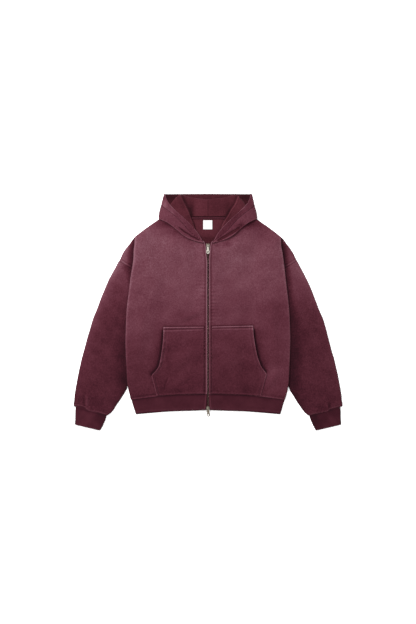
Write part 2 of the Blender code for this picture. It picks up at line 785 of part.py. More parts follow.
def bridge_mesh():
    """The arch over the slider's upper plate: a rectangle swept along a half ellipse, closed at both feet."""
    outer = (BRIDGE_HALF_LENGTH, BRIDGE_HEIGHT)
    inner = (BRIDGE_HALF_LENGTH - BRIDGE_WALL, BRIDGE_HEIGHT - BRIDGE_WALL)
    foot = UPPER_PLATE[1] - JOIN_DEPTH
    sections = []
    for angle in np.linspace(0.0, math.pi, BRIDGE_STEPS + 1):
        section = []
        for x, (length, height) in ((-1, outer), (1, outer), (1, inner), (-1, inner)):
            rise = UPPER_PLATE[1] + height * math.sin(angle)
            section.append((x * BRIDGE_WIDTH / 2, length * math.cos(angle), rise))
        sections.append(section)
    for end in (0, -1):
        sections[end] = [(x, y, foot) for x, y, _ in sections[end]]
    mesh = surface("bridge", np.array(sections), closed=True)
    shape = bmesh.new()
    shape.from_mesh(mesh)
    bmesh.ops.holes_fill(shape, edges=[edge for edge in shape.edges if edge.is_boundary])
    bmesh.ops.recalc_face_normals(shape, faces=shape.faces)
    shape.to_mesh(mesh)
    shape.free()
    return mesh


def slider_mesh(cutters):
    """Both plates, the post between them and the bridge, joined to one solid, with its origin on the chain."""
    half_width, half_length = SLIDER_WIDTH / 2, SLIDER_LENGTH / 2
    lower_width, lower_length = half_width - LOWER_PLATE_INSET[0], half_length - LOWER_PLATE_INSET[1]
    post_end = half_length - POST_INSET
    upper = block(
        "slider_upper_plate",
        (-half_width, -half_length, UPPER_PLATE[0]), (half_width, half_length, UPPER_PLATE[1]), cutters)
    lower = block(
        "slider_lower_plate",
        (-lower_width, -lower_length, LOWER_PLATE[0]), (lower_width, lower_length, LOWER_PLATE[1]), cutters)
    post = block(
        "slider_post",
        (-POST_WIDTH / 2, post_end - POST_LENGTH, LOWER_PLATE[0] + JOIN_DEPTH),
        (POST_WIDTH / 2, post_end, UPPER_PLATE[1] - JOIN_DEPTH), cutters)
    bridge = helper("slider_bridge", bridge_mesh(), cutters)
    for plate in (upper, lower):
        bevel = plate.modifiers.new("rounded", "BEVEL")
        bevel.width = PLATE_BEVEL * MM
        bevel.segments = 1
    for tool in (post, lower, bridge):
        union = upper.modifiers.new("join", "BOOLEAN")
        union.operation = "UNION"
        union.solver = "EXACT"
        union.object = tool
    bpy.context.view_layer.update()
    evaluated = upper.evaluated_get(bpy.context.evaluated_depsgraph_get())
    return bpy.data.meshes.new_from_object(evaluated)


def pull_curve(name):
    """Outline of a pull tab as a flat curve, with its hinge bar on the origin and its free end at -Y."""
    curve = bpy.data.curves.new(name, "CURVE")
    curve.dimensions = "2D"
    curve.fill_mode = "BOTH"
    curve.extrude = PULL_THICK / 2 * MM
    centre = PULL_FAR_HALF - PULL_LENGTH
    arc = np.linspace(0.0, math.pi, 11)
    ends = [(PULL_FAR_HALF * math.cos(a), centre - PULL_FAR_HALF * math.sin(a)) for a in arc]
    outline = [(-PULL_NEAR_HALF, PULL_BAR), (PULL_NEAR_HALF, PULL_BAR), (PULL_NEAR_HALF, -WINDOW_END)] + ends
    outline.append((-PULL_NEAR_HALF, -WINDOW_END))
    window = [
        (-WINDOW_HALF, -PULL_BAR),
        (WINDOW_HALF, -PULL_BAR),
        (WINDOW_HALF, -WINDOW_END),
        (-WINDOW_HALF, -WINDOW_END),
    ]
    circle = np.linspace(0.0, 2 * math.pi, 12, endpoint=False)
    hole = [(PULL_HOLE * math.cos(a), centre + PULL_HOLE * math.sin(a)) for a in circle]
    for loop in (outline, window, hole):
        spline = curve.splines.new("POLY")
        spline.points.add(len(loop) - 1)
        for point, (x, y) in zip(spline.points, loop):
            point.co = (x * MM, y * MM, 0.0, 1.0)
        spline.use_cyclic_u = True
    return curve


def build_sliders(parts, cutters, stations):
    """Both sliders with their pull tabs; the lower slider is turned round, with its pull towards the hem."""
    mesh = slider_mesh(cutters)
    places = (
        ("top", SLIDER_TOP_Y, 0.0, PULL_TOP_TILT),
        ("bottom", SLIDER_BOTTOM_Y, math.pi, PULL_BOTTOM_TILT),
    )
    for name, y, heading, tilt in places:
        base = np.interp(y, *stations)
        slider = place("slider_" + name, mesh, NICKEL, parts)
        slider.location = (0.0, y * MM, base * MM)
        slider.rotation_euler = (0.0, 0.0, heading)
        pull = place("pull_" + name, pull_curve("pull_" + name), NICKEL, parts)
        pull.location = (0.0, y * MM, (base + PULL_AXIS) * MM)
        pull.rotation_euler = (math.radians(tilt), 0.0, 0.0)


# ---------------------------------------------------------------- the hoodie

def clear_scene():
    """Remove what the new file holds."""
    for obj in list(bpy.data.objects):
        bpy.data.objects.remove(obj, do_unlink=True)


def build_hoodie():
    """Lay the pieces on each other, from the floor up."""
    clear_scene()
    parts = collection("zip_up_hoodie")
    cutters = collection("cutters")
    pile = Pile()
    build_sleeves(pile, parts)
    lay_crown(pile)
    lining_ends = lay_lining_end(pile)
    build_back(pile, parts)
    lay_hem_back(pile)
    stations = zip_line(pile)
    build_neck_trim(pile, parts)
    build_lining(pile, parts, lining_ends)
    zip_tapes = build_zip(pile, parts, stations)
    build_hem_band(parts, zip_tapes)
    build_fronts(pile, parts)
    build_pockets(pile, parts)
    build_hood(pile, parts)
    build_sliders(parts, cutters, stations)


build_hoodie()
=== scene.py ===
"""Looks of the zip up hoodie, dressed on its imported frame.

The tables are in millimetres, in the frame's axes: +X is the wearer's left, +Y runs from hem to hood and
+Z is up. Each cloth piece is a fine closed shell. The outward side of its CAD solid is laid out as a grid
of rows and columns, the grid is smoothed, creases and seams are raised on it, and an inner side closes it.
"""
import heapq
import math

import bpy
import numpy as np
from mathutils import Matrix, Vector
from mathutils.bvhtree import BVHTree


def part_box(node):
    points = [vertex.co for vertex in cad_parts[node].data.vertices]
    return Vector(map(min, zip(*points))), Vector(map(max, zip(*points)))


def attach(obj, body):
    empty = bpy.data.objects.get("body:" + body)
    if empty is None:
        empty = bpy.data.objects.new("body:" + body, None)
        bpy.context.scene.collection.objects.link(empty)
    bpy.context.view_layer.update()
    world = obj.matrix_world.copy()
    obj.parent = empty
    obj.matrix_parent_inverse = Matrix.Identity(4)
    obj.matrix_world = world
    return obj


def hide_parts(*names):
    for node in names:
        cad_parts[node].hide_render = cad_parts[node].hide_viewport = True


MM = 0.001
SIDES = (("left", 1), ("right", -1))

# Cloth walls, ribs, and the grids' steps across and along a piece
FLEECE = 2.0
RIB = 2.6
TAPE = 0.8
RIB_PITCH = 3.4
RIB_DEPTH = 0.35
FINE_STEPS = (3.0, 3.0)
BACK_STEPS = (6.0, 6.0)
SLEEVE_STEPS = (3.4, 3.4)
RIB_STEPS = (0.95, 4.5)
HOOD_STEPS = (2.4, 3.0)
LINING_STEPS = (2.2, 2.6)
ROUGH_GRID = (9, 17)

# How a solid's outward side is found: the sharpest turns that it may take, in degrees, one try after another,
# and the share of the solid's area that is more than one side
SHARP_TURNS = (64.0, 57.0, 50.0, 43.0, 36.0, 29.0)
ONE_SIDE = 0.62

# How the facets are eased: the passes, and the turns along and across a piece above which a fold stays
EASING = 40
FOLD_LIMITS = (0.25, 0.25)
HOOD_FOLD_LIMITS = (1.6, 0.4)

# Rows added at a free edge, as shares of its first step, and the wall's share from the edge inwards
RIM_STOPS = (0.12, 0.4)
RIM_SHARES = (0.0, 0.7, 1.0)

# Smooth curves: their steps, and the share of a crease over which each of its ends fades out
CURVE_STEPS = 24
CREASE_FADE = 0.35

# Corners of each piece's outward side, for the left half: the first row's two ends, then the last row's. A
# tube has two places only: its inner edge, where it is cut open, at its first and at its last ring.
CORNERS = {
    "back_panel": [(-280.5, -322.0, 2.0), (280.5, -322.0, 2.0), (268.0, 271.0, 8.0), (-268.0, 271.0, 8.0)],
    "hem_band": [(3.9, -302.0, 9.0), (-3.9, -302.0, 9.0), (-8.7, -360.0, 9.0), (8.7, -360.0, 9.0)],
    "neck_tape": [(-104.0, 339.5, 8.0), (104.0, 339.5, 8.0), (104.0, 349.0, 8.0), (-104.0, 349.0, 8.0)],
    "label": [(-20.0, 304.5, 8.0), (17.0, 304.5, 8.0), (17.0, 341.5, 8.0), (-20.0, 341.5, 8.0)],
    "front": [(3.9, -301.5, 9.0), (283.5, -323.0, 6.0), (270.8, 274.0, 8.0), (12.0, 257.0, 14.0)],
    "pocket": [(15.0, -301.5, 9.0), (189.5, -309.0, 9.0), (166.5, -51.0, 9.0), (15.0, -52.0, 9.0)],
    "hood": [(154.5, 436.4, 16.0), (0.2, 436.4, 1.0), (0.2, 177.0, 1.0), (15.7, 261.0, 16.0)],
    "hood_lining": [(0.2, 352.5, 12.0), (155.0, 349.0, 12.0), (146.0, 320.0, 3.0), (0.2, 205.0, 3.0)],
    "zip_tape": [(3.4, -357.0, 5.0), (18.0, -357.0, 5.0), (18.0, 256.0, 9.0), (3.4, 256.0, 9.0)],
    "shoulder": [(240.0, 258.0, 2.0), (205.0, 113.0, 2.0)],
    "sleeve": [(205.0, 111.0, 2.0), (372.5, -380.0, 2.0)],
    "cuff": [(375.5, -381.0, 2.5), (398.8, -436.6, 2.5)],
}

# Stage
PICTURE_HEIGHT = 2304.0
LENS = 100.0
SENSOR = 36.0
WORLD_STRENGTH = 1.5
KEY_SIZE = 1.6
KEY_POWER = 330.0
KEY_PLACE = (-2.2, 2.6, 2.5)
FLOOR_CORNERS = [(-6000, -6000), (6000, -6000), (6000, 6000), (-6000, 6000)]
FLOOR_HEIGHT = -0.4
EXPOSURE = 0.33
RAMP_SCALE = 0.8

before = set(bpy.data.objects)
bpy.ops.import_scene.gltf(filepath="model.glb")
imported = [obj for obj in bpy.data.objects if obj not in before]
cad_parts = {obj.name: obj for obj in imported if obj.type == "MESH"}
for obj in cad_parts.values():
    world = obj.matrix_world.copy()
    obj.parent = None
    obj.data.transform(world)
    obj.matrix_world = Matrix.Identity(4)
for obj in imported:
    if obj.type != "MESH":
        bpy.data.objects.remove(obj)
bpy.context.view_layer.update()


# ---------------------------------------------------------------- sides of the CAD solids

def unit(vectors):
    """The vectors at length 1."""
    return vectors / np.maximum(np.linalg.norm(vectors, axis=-1, keepdims=True), 1e-12)


def edges(triangle):
    """A triangle's three edges, each as its two points."""
    return [(triangle[k - 1], triangle[k]) for k in range(3)]


def by_edge(triangles, chosen):
    """The chosen triangles that have each edge."""
    beside = {}
    for index in chosen:
        for edge in edges(triangles[index]):
            beside.setdefault(frozenset(edge), []).append(index)
    return beside


def outward_side(node):
    """Points, in mm, and triangles that a cloth solid's topmost face reaches without a sharp turn."""
    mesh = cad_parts[node].data
    mesh.calc_loop_triangles()
    points = np.array([vertex.co for vertex in mesh.vertices]) / MM
    triangles = np.array([triangle.vertices for triangle in mesh.loop_triangles])
    _, first, weld = np.unique(np.round(points, 2), axis=0, return_index=True, return_inverse=True)
    points, triangles = points[first], weld.ravel()[triangles]
    a, b, c = (points[triangles[:, k]] for k in range(3))
    facing = unit(np.cross(b - a, c - a))
    beside = by_edge(triangles, range(len(triangles)))
    around = [[there for edge in edges(triangle) for there in beside[frozenset(edge)]]
              for triangle in triangles]
    areas = np.linalg.norm(np.cross(b - a, c - a), axis=1)
    start = int(np.argmax((a + b + c)[:, 2] / 3 + 100.0 * (facing[:, 2] > 0.9)))
    for turn in SHARP_TURNS:
        reached, open_list = {start}, [start]
        while open_list:
            here = open_list.pop()
            for there in around[here]:
                if there not in reached and facing[here] @ facing[there] > math.cos(math.radians(turn)):
                    reached.add(there)
                    open_list.append(there)
        if areas[list(reached)].sum() < ONE_SIDE * areas.sum():
            break
    reached |= {here for here, others in enumerate(around) if reached.issuperset(set(others) - {here})}
    used, triangles = np.unique(triangles[sorted(reached)], return_inverse=True)
    return points[used], triangles.reshape(-1, 3)


def outlines(triangles):
    """Closed loops of the edges that only one triangle has, each in order."""
    ahead = dict.fromkeys(edge for triangle in triangles for edge in edges(triangle))
    follow = {a: b for a, b in ahead if (b, a) not in ahead}
    loops = []
    while follow:
        loop = [next(iter(follow))]
        while loop[-1] in follow:
            loop.append(follow.pop(loop[-1]))
        loops.append(loop[:-1])
    return loops


def gaps(points, chosen, place):
    """Distances of the chosen points from a place."""
    return np.linalg.norm(points[chosen] - np.array(place), axis=1)


def nearest(points, chosen, place):
    """Which of the chosen points is nearest to a place."""
    return chosen[int(np.argmin(gaps(points, chosen, place)))]


def shortest_way(points, triangles, start, end):
    """Points of the shortest way along the edges."""
    lengths = {}
    for triangle in triangles:
        for a, b in edges(triangle):
            length = np.linalg.norm(points[a] - points[b])
            lengths.setdefault(a, {})[b] = lengths.setdefault(b, {})[a] = length
    best, came, heap = {start: 0.0}, {}, [(0.0, start)]
    while heap:
        far, here = heapq.heappop(heap)
        for there, step in lengths[here].items():
            if far + step < best.get(there, math.inf):
                best[there], came[there] = far + step, here
                heapq.heappush(heap, (far + step, there))
    way = [end]
    while way[-1] != start:
        way.append(came[way[-1]])
    return way[::-1]


def cut_open(points, triangles, way):
    """The side with the points along the way doubled, and the doubles' numbers: a tube becomes a strip."""
    doubles = {point: len(points) + k for k, point in enumerate(way)}
    steps = set(zip(way, way[1:]))
    near = [k for k, triangle in enumerate(triangles) if any(point in doubles for point in triangle)]
    beside = by_edge(triangles, near)
    open_list = [index for index in near for edge in edges(triangles[index]) if edge in steps]
    moved = set(open_list)
    while open_list:
        for a, b in edges(triangles[open_list.pop()]):
            if (a, b) in steps or (b, a) in steps or not (a in doubles or b in doubles):
                continue
            for other in beside[frozenset((a, b))]:
                if other not in moved:
                    moved.add(other)
                    open_list.append(other)
    triangles = triangles.copy()
    for index in moved:
        triangles[index] = [doubles.get(point, point) for point in triangles[index]]
    return np.vstack([points, points[way]]), triangles, [doubles[point] for point in way]


def along(points):
    """Distance from the first point along a row of points."""
    return np.concatenate([[0.0], np.cumsum(np.linalg.norm(np.diff(points, axis=0), axis=1))])


def laid_out(points, triangles, corners):
    """(u, v) of each point: the outline goes round the unit square by its corners, and the rest follows."""
    loop = max(outlines(triangles), key=len)
    at = loop.index(corners[0])
    loop = loop[at:] + loop[:at] + [corners[0]]
    if loop.index(corners[1]) > loop.index(corners[3]):
        loop = loop[::-1]
    stops = [0] + [loop.index(corner) for corner in corners[1:]] + [len(loop) - 1]
    square = np.array([(0.0, 0.0), (1.0, 0.0), (1.0, 1.0), (0.0, 1.0), (0.0, 0.0)])
    places = np.zeros((len(points), 2))
    for k in range(4):
        stretch = loop[stops[k]:stops[k + 1] + 1]
        share = along(points[stretch])
        share = (share / share[-1])[:, None]
        places[stretch] = (1 - share) * square[k] + share * square[k + 1]
    weights = np.zeros((len(points), len(points)))
    for triangle in triangles:
        for k in range(3):
            i, j, l = triangle[k], triangle[k - 1], triangle[k - 2]
            to_j, to_l = points[j] - points[i], points[l] - points[i]
            angle = math.acos(np.clip(unit(to_j) @ unit(to_l), -1.0, 1.0))
            weights[i, j] += math.tan(angle / 2) / np.linalg.norm(to_j)
            weights[i, l] += math.tan(angle / 2) / np.linalg.norm(to_l)
    inside = np.setdiff1d(np.arange(len(points)), loop)
    outside = np.unique(loop)
    weights /= weights.sum(axis=1, keepdims=True)
    pull = weights[np.ix_(inside, outside)] @ places[outside]
    places[inside] = np.linalg.solve(np.eye(len(inside)) - weights[np.ix_(inside, inside)], pull)
    return places


def crossed(a, b):
    """Twice the area, with its sign, between vectors in plan."""
    return a[:, 0] * b[:, 1] - a[:, 1] * b[:, 0]


def sampled(points, triangles, places, rows, columns):
    """Points of the side on an even grid over its (u, v)."""
    spread = crossed(*(places[triangles[:, k]] - places[triangles[:, 0]] for k in (1, 2)))
    triangles = triangles[np.abs(spread) > 1e-9]
    tree = BVHTree.FromPolygons(np.pad(places, ((0, 0), (0, 1))).tolist(), triangles.tolist())
    u, v = np.meshgrid(np.linspace(0.0, 1.0, columns), np.linspace(0.0, 1.0, rows))
    wanted = np.stack([u.ravel(), v.ravel()], axis=1)
    found = [tree.find_nearest((x, y, 0.0))[2] for x, y in wanted]
    a, b, c = triangles[found].T
    to_b, to_c, offset = places[b] - places[a], places[c] - places[a], wanted - places[a]
    area = crossed(to_b, to_c)
    share_b, share_c = crossed(offset, to_c) / area, crossed(to_b, offset) / area
    shares = np.stack([1 - share_b - share_c, share_b, share_c], axis=1)[..., None]
    return (shares * points[np.stack([a, b, c], axis=1)]).sum(axis=1).reshape(rows, columns, 3)


def eased(grid, closed, limits):
    """The grid without the CAD solid's facets: small turns are evened out and tight folds stay."""
    for _ in range(EASING):
        for axis, limit in enumerate(limits):
            turned = grid.swapaxes(0, axis)
            pull = np.zeros_like(turned)
            pull[1:-1] = (turned[:-2] + turned[2:]) / 2 - turned[1:-1]
            if closed and axis == 1:
                pull[0] = pull[-1] = (turned[-2] + turned[1]) / 2 - turned[0]
            size = np.linalg.norm(pull, axis=2, keepdims=True)
            turned += pull * 0.5 / (1 + (size / limit) ** 4)
    return grid


def regained(grid, sharp):
    """The eased grid with each row stretched back to the span that the sharp grid's row has in plan."""
    moves = np.zeros((len(grid), 2))
    lines = []
    for index, (row, old) in enumerate(zip(grid[..., :2], sharp[..., :2])):
        middle = row.mean(axis=0)
        ahead = np.linalg.svd(row - middle, full_matrices=False)[2][0]
        now, then = (row - middle) @ ahead, (old - middle) @ ahead
        if ahead[0] < 0:
            ahead, now, then = -ahead, -now, -then
        lines.append((ahead, now))
        moves[index] = then.min() - now.min(), then.max() - now.max()
    for _ in range(6):
        moves[1:-1] = (moves[:-2] + 2 * moves[1:-1] + moves[2:]) / 4
    for row, (ahead, now), move in zip(grid, lines, moves):
        row[:, :2] += np.outer(np.interp(now, (now.min(), now.max()), move), ahead)
    return grid


def with_rims(grid, closed):
    """The grid with two more rows and columns close to each free edge, for a rounded rim."""
    for axis in (0,) if closed else (0, 1):
        turned = grid.swapaxes(0, axis)
        first = [turned[0] + share * (turned[1] - turned[0]) for share in RIM_STOPS]
        last = [turned[-1] + share * (turned[-2] - turned[-1]) for share in RIM_STOPS[::-1]]
        turned = np.concatenate([turned[:1], first, turned[1:-1], last, turned[-1:]])
        grid = turned.swapaxes(0, axis)
    return grid


class Cloth:
    """A fine grid on the outward side of a CAD cloth solid: rows from its first to its last edge, columns
    from its left to its right edge. raised moves the whole wall, relief only its outer face, and the value
    that the colour ramp reads is how far the dye has faded, from 0 to 1, with painted shade lowering it and
    painted highlights raising it."""

    def __init__(self, name, steps, wall, limits=FOLD_LIMITS):
        kind, _, half = name.rpartition("_")
        self.name, self.wall = name, wall
        self.kind, self.half = (kind, half) if half in dict(SIDES) else (name, "")
        places = mirrored(CORNERS[self.kind], dict(SIDES).get(self.half, 1))
        self.closed = len(places) == 2
        points, triangles = outward_side(name)
        loops = outlines(triangles)
        if self.closed:
            ends = [nearest(points, min(loops, key=lambda loop: gaps(points, loop, place).min()), place)
                    for place in places]
            way = shortest_way(points, triangles, *ends)
            points, triangles, doubles = cut_open(points, triangles, way)
            corners = [way[0], doubles[0], doubles[-1], way[-1]]
        else:
            corners = [nearest(points, max(loops, key=len), place) for place in places]
        places = laid_out(points, triangles, corners)
        rough = sampled(points, triangles, places, *ROUGH_GRID)
        spans = [np.linalg.norm(np.diff(rough, axis=axis), axis=2).sum(axis=axis).max() for axis in (0, 1)]
        counts = [1 + round(span / step) for span, step in zip(spans, steps[::-1])]
        sharp = sampled(points, triangles, places, *counts)
        grid = regained(eased(sharp.copy(), self.closed, limits), sharp)
        grid[..., 2] = np.maximum(grid[..., 2], 0.0)
        self.points = with_rims(grid, self.closed)
        self.settle()
        self.raised, self.relief, self.under, self.wash = np.zeros((4, *self.points.shape[:2]))
        self.inner_fade_and_painted_shading = None

    def settle(self):
        """Normals and distances from the four edges, after the points have moved."""
        self.normals = self.facing()
        self.from_first, self.from_left = self.run(0), self.run(1)
        self.from_last = self.from_first[-1:] - self.from_first
        self.from_right = self.from_left[:, -1:] - self.from_left

    def run(self, axis):
        """Distance along the cloth of each point from the first row (axis 0) or column (axis 1)."""
        steps = np.linalg.norm(np.diff(self.points, axis=axis), axis=2)
        return np.cumsum(np.concatenate([np.zeros_like(steps.take([0], axis)), steps], axis=axis), axis=axis)

    def away(self, edge):
        """Distance from one of the four edges."""
        return getattr(self, "from_" + edge)

    def reach_out(self, edge, reach, blend):
        """Moves one edge outwards along the cloth; the move fades out within the blend distance."""
        axis = 0 if edge in ("first", "last") else 1
        turned, away = self.points.swapaxes(0, axis), self.away(edge).swapaxes(0, axis)
        end, inner = (0, 6) if edge in ("first", "left") else (-1, -7)
        outward = unit(turned[end] - turned[inner])
        if self.closed:
            outward[:] = unit(outward.mean(axis=0))
        outward[:, 2] *= 0.3
        turned += outward[None] * (reach * (1 - smoothstep(away / blend)))[..., None]
        self.settle()

    def facing(self):
        """Outward unit normals of the grid."""
        points = self.points
        if self.closed:
            ring = np.concatenate([points[:, -2:-1], points, points[:, 1:2]], axis=1)
            across = (ring[:, 2:] - ring[:, :-2])
        else:
            across = np.gradient(points, axis=1)
        normals = unit(np.cross(across, np.gradient(points, axis=0)))
        level = np.abs(normals[..., 2]) > 0.8
        highest = np.unravel_index(np.argmax(points[..., 2] * level), level.shape)
        return normals * np.sign(normals[highest][2])

    @property
    def plan(self):
        """x and y of each point."""
        return self.points[..., :2]

    @property
    def upward(self):
        """1 where the cloth faces up, 0 where it stands on edge or faces down."""
        return np.clip(self.normals[..., 2] * 1.5 - 0.2, 0.0, 1.0)

    def rim(self):
        """0 on the free edges and 1 where the wall has its full thickness."""
        shares = [np.ones(count) for count in self.points.shape[:2]]
        for share in shares[:1] if self.closed else shares:
            share[:3], share[-3:] = RIM_SHARES, RIM_SHARES[::-1]
        return np.minimum(shares[0][:, None], shares[1][None])

    def faces(self):
        """Points of the outer and the inner face, neither below the surface that the garment lies on."""
        rim = self.rim()
        middle = self.wall / 2
        carried = self.points + self.normals * self.raised[..., None]
        outer = -middle + (middle + self.relief) * rim
        inner = -middle - (middle - self.under) * rim
        both = [carried + self.normals * height[..., None] for height in (outer, inner)]
        for face in both:
            face[..., 2] = np.maximum(face[..., 2], 0.0)
        return both


# ---------------------------------------------------------------- creases and seams

def smoothstep(share):
    """0 to 1, easing in and out."""
    share = np.clip(share, 0.0, 1.0)
    return share * share * (3 - 2 * share)


def curve(rows):
    """Evenly spaced points on a smooth curve through the rows."""
    knots = np.array(rows, dtype=float)
    ends = np.vstack([2 * knots[0] - knots[1], knots, 2 * knots[-1] - knots[-2]])
    t = np.linspace(0.0, 1.0, 12, endpoint=False)[:, None]
    spans = []
    for a, b, c, d in zip(ends, ends[1:], ends[2:], ends[3:]):
        bend = (2 * a - 5 * b + 4 * c - d) * t ** 2 + (3 * b - a - 3 * c + d) * t ** 3
        spans.append(0.5 * (2 * b + (c - a) * t + bend))
    fine = np.vstack(spans + [knots[-1:]])
    run = along(fine)
    at = np.linspace(0.0, run[-1], CURVE_STEPS + 1)
    return np.stack([np.interp(at, run, column) for column in fine.T], axis=1)


def to_path(plan, path):
    """Distance of each plan point from a path, and where along it, from 0 to 1, the nearest place is."""
    run = along(path)
    best = np.full(plan.shape[:-1], np.inf)
    where = np.zeros(plan.shape[:-1])
    for a, b, start, end in zip(path, path[1:], run, run[1:]):
        ahead = b - a
        share = np.clip((plan - a) @ ahead / max(ahead @ ahead, 1e-9), 0.0, 1.0)
        distance = np.linalg.norm(plan - (a + share[..., None] * ahead), axis=-1)
        closer = distance < best
        best[closer] = distance[closer]
        where[closer] = (start + share * (end - start))[closer] / run[-1]
    return best, where


def creases(plan, table):
    """Soft ridges along curves, or troughs where the height is negative, that fade out at both ends. The
    table's rows are the curve's points, the width and the height."""
    total = np.zeros(plan.shape[:-1])
    for rows, width, height in table:
        distance, share = to_path(plan, curve(rows))
        total += smoothstep(np.minimum(share, 1 - share) / CREASE_FADE) * ridge(distance, 0.0, width, height)
    return total


def uneven(plan, size, seed):
    """Smooth unevenness between about -1 and 1, with bumps of one size."""
    random = np.random.default_rng(seed)
    total = np.zeros(plan.shape[:-1])
    for _ in range(9):
        angle, phase = random.uniform(0.0, 2 * math.pi, 2)
        length = size * random.uniform(0.7, 1.6)
        ahead = plan[..., 0] * math.cos(angle) + plan[..., 1] * math.sin(angle)
        total += np.sin(ahead * 2 * math.pi / length + phase)
    return total / 4.5


def puckers(away, run, pitch, reach, height, seed):
    """Small uneven ridges across a seam, strongest beside the stitches."""
    random = np.random.default_rng(seed)
    drift = sum(random.uniform(0.6, 1.4) * np.sin(run / (pitch * k) + random.uniform(0.0, 6.0))
                for k in (1.3, 2.9))
    strength = 0.6 + 0.4 * np.sin(run / (pitch * 2.7) + seed)
    return height * strength * np.sin(2 * math.pi * run / pitch + drift) * np.exp(-away / reach)


def ridge(away, centre, width, height):
    """A welt, or a stitched ditch where height is negative, at a distance from an edge."""
    return height * np.exp(-((away - centre) / width) ** 2)


def ridges(away, *rows):
    """Several welts and ditches beside one edge: their centres, widths and heights."""
    return sum(ridge(away, *row) for row in rows)


def edged(cloth, table):
    """What a table gives for the cloth's kind: the edge, then the centre, width and amount of each row."""
    return sum(ridge(cloth.away(edge), *row) for edge, *row in table[cloth.kind])


def blobs(plan, table):
    """Soft round patches: centre x and y, radius along x and y, amount."""
    total = np.zeros(plan.shape[:-1])
    for x, y, radius_x, radius_y, amount in table:
        total += amount * np.exp(
            -((plan[..., 0] - x) / radius_x) ** 2 - ((plan[..., 1] - y) / radius_y) ** 2)
    return total


# ---------------------------------------------------------------- meshes

def placed(name, data):
    """An object of the data in the scene."""
    made = bpy.data.objects.new(name, data)
    bpy.context.scene.collection.objects.link(made)
    return made


def ridden(name, mesh, body="garment"):
    """An object of the mesh that rides on a body."""
    made = placed(name, mesh)
    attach(made, body)
    return made


def smooth_mesh(name, vertices, faces, *materials):
    """A smooth mesh of points in mm, with its materials."""
    mesh = bpy.data.meshes.new(name)
    mesh.from_pydata((np.asarray(vertices) * MM).tolist(), [], faces)
    mesh.shade_smooth()
    for material in materials:
        mesh.materials.append(material)
    return mesh


def sew(cloth, outer_look, inner_look, slot, width, length, area, rests_on):
    """The cloth's closed shell: its outer face, its inner face, and the rim where they meet."""
    outer, inner = cloth.faces()
    rows, columns = outer.shape[:2]
    kept = columns - 1 if cloth.closed else columns
    number = np.arange(rows * kept).reshape(rows, kept)
    inner_number = number.copy()
    core = (slice(1, -1), slice(None)) if cloth.closed else (slice(1, -1), slice(1, -1))
    inner_number[core] = rows * kept + np.arange(inner_number[core].size).reshape(inner_number[core].shape)
    vertices = np.vstack([outer[:, :kept].reshape(-1, 3), inner[:, :kept][core].reshape(-1, 3)])
    inner_fade_and_painted_shading = cloth.wash if cloth.inner_fade_and_painted_shading is None else cloth.inner_fade_and_painted_shading
    wash = np.concatenate([cloth.wash[:, :kept].ravel(), inner_fade_and_painted_shading[:, :kept][core].ravel()])
    flat_places = np.stack([cloth.from_left, cloth.from_first], axis=2) * MM
    faces, places = [], []
    outward = upright(outer, cloth)
    for numbers, flipped in ((number, not outward), (inner_number, outward)):
        if cloth.closed:
            numbers = np.concatenate([numbers, numbers[:, :1]], axis=1)
        for grid, store in ((numbers, faces), (flat_places, places)):
            quads = np.stack([grid[:-1, :-1], grid[:-1, 1:], grid[1:, 1:], grid[1:, :-1]], axis=2)
            if flipped:
                quads = quads[:, :, ::-1]
            store.append(quads.reshape(-1, 4, *grid.shape[2:]))
    mesh = smooth_mesh(cloth.name, vertices, np.concatenate(faces).tolist(), outer_look, inner_look)
    mesh.uv_layers.new(name="UVMap").data.foreach_set("uv", np.concatenate(places).ravel())
    mesh.attributes.new("wash", "FLOAT", "POINT").data.foreach_set("value", wash)
    mesh.polygons.foreach_set("material_index", np.repeat([0, 1], [len(faces[0]), len(faces[1])]))
    made = ridden(cloth.name + "_cloth", mesh)
    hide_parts(cloth.name)


def upright(outer, cloth):
    """Whether the grid's own winding faces outward."""
    row, column = outer.shape[0] // 2, outer.shape[1] // 2
    across = outer[row, column + 1] - outer[row, column]
    down = outer[row + 1, column] - outer[row, column]
    return np.cross(across, down) @ cloth.normals[row, column] > 0


def lines_of(cloth, edge, distance, start=0.0, end=1.0):
    """A line on the outer face at a distance from an edge: its points and normals, edge being left, right,
    first or last, and distance a number or one for each row or column."""
    axis = 1 if edge in ("first", "last") else 0
    onward = -1 if edge in ("right", "last") else 1
    away = cloth.away(edge).swapaxes(0, axis)[:, ::onward]
    both = np.concatenate([cloth.faces()[0], cloth.normals], axis=2).swapaxes(0, axis)[:, ::onward]
    wanted = np.broadcast_to(distance, len(away))
    line = np.array([[np.interp(w, row, column) for column in cells.T]
                     for w, row, cells in zip(wanted, away, both)])
    first, last = round(start * (len(line) - 1)), round(end * (len(line) - 1))
    return line[first:last + 1]


# Stitches in mm: from one to the next, length and half the width, how deep they lie, and the places and sizes
# of their rings of points
STITCH_PITCH = 3.6
STITCH_SIZE = (3.0, 0.3, 0.3)
STITCH_SINK = 0.05
STITCH_RINGS = ((-0.36, 0.8), (0.0, 1.0), (0.36, 0.8))


def bands(size, count):
    """Faces between neighbours of a count of rings that all have one size."""
    return [(row + k, row + (k + 1) % size, row + size + (k + 1) % size, row + size + k)
            for row in range(0, size * (count - 1), size) for k in range(size)]


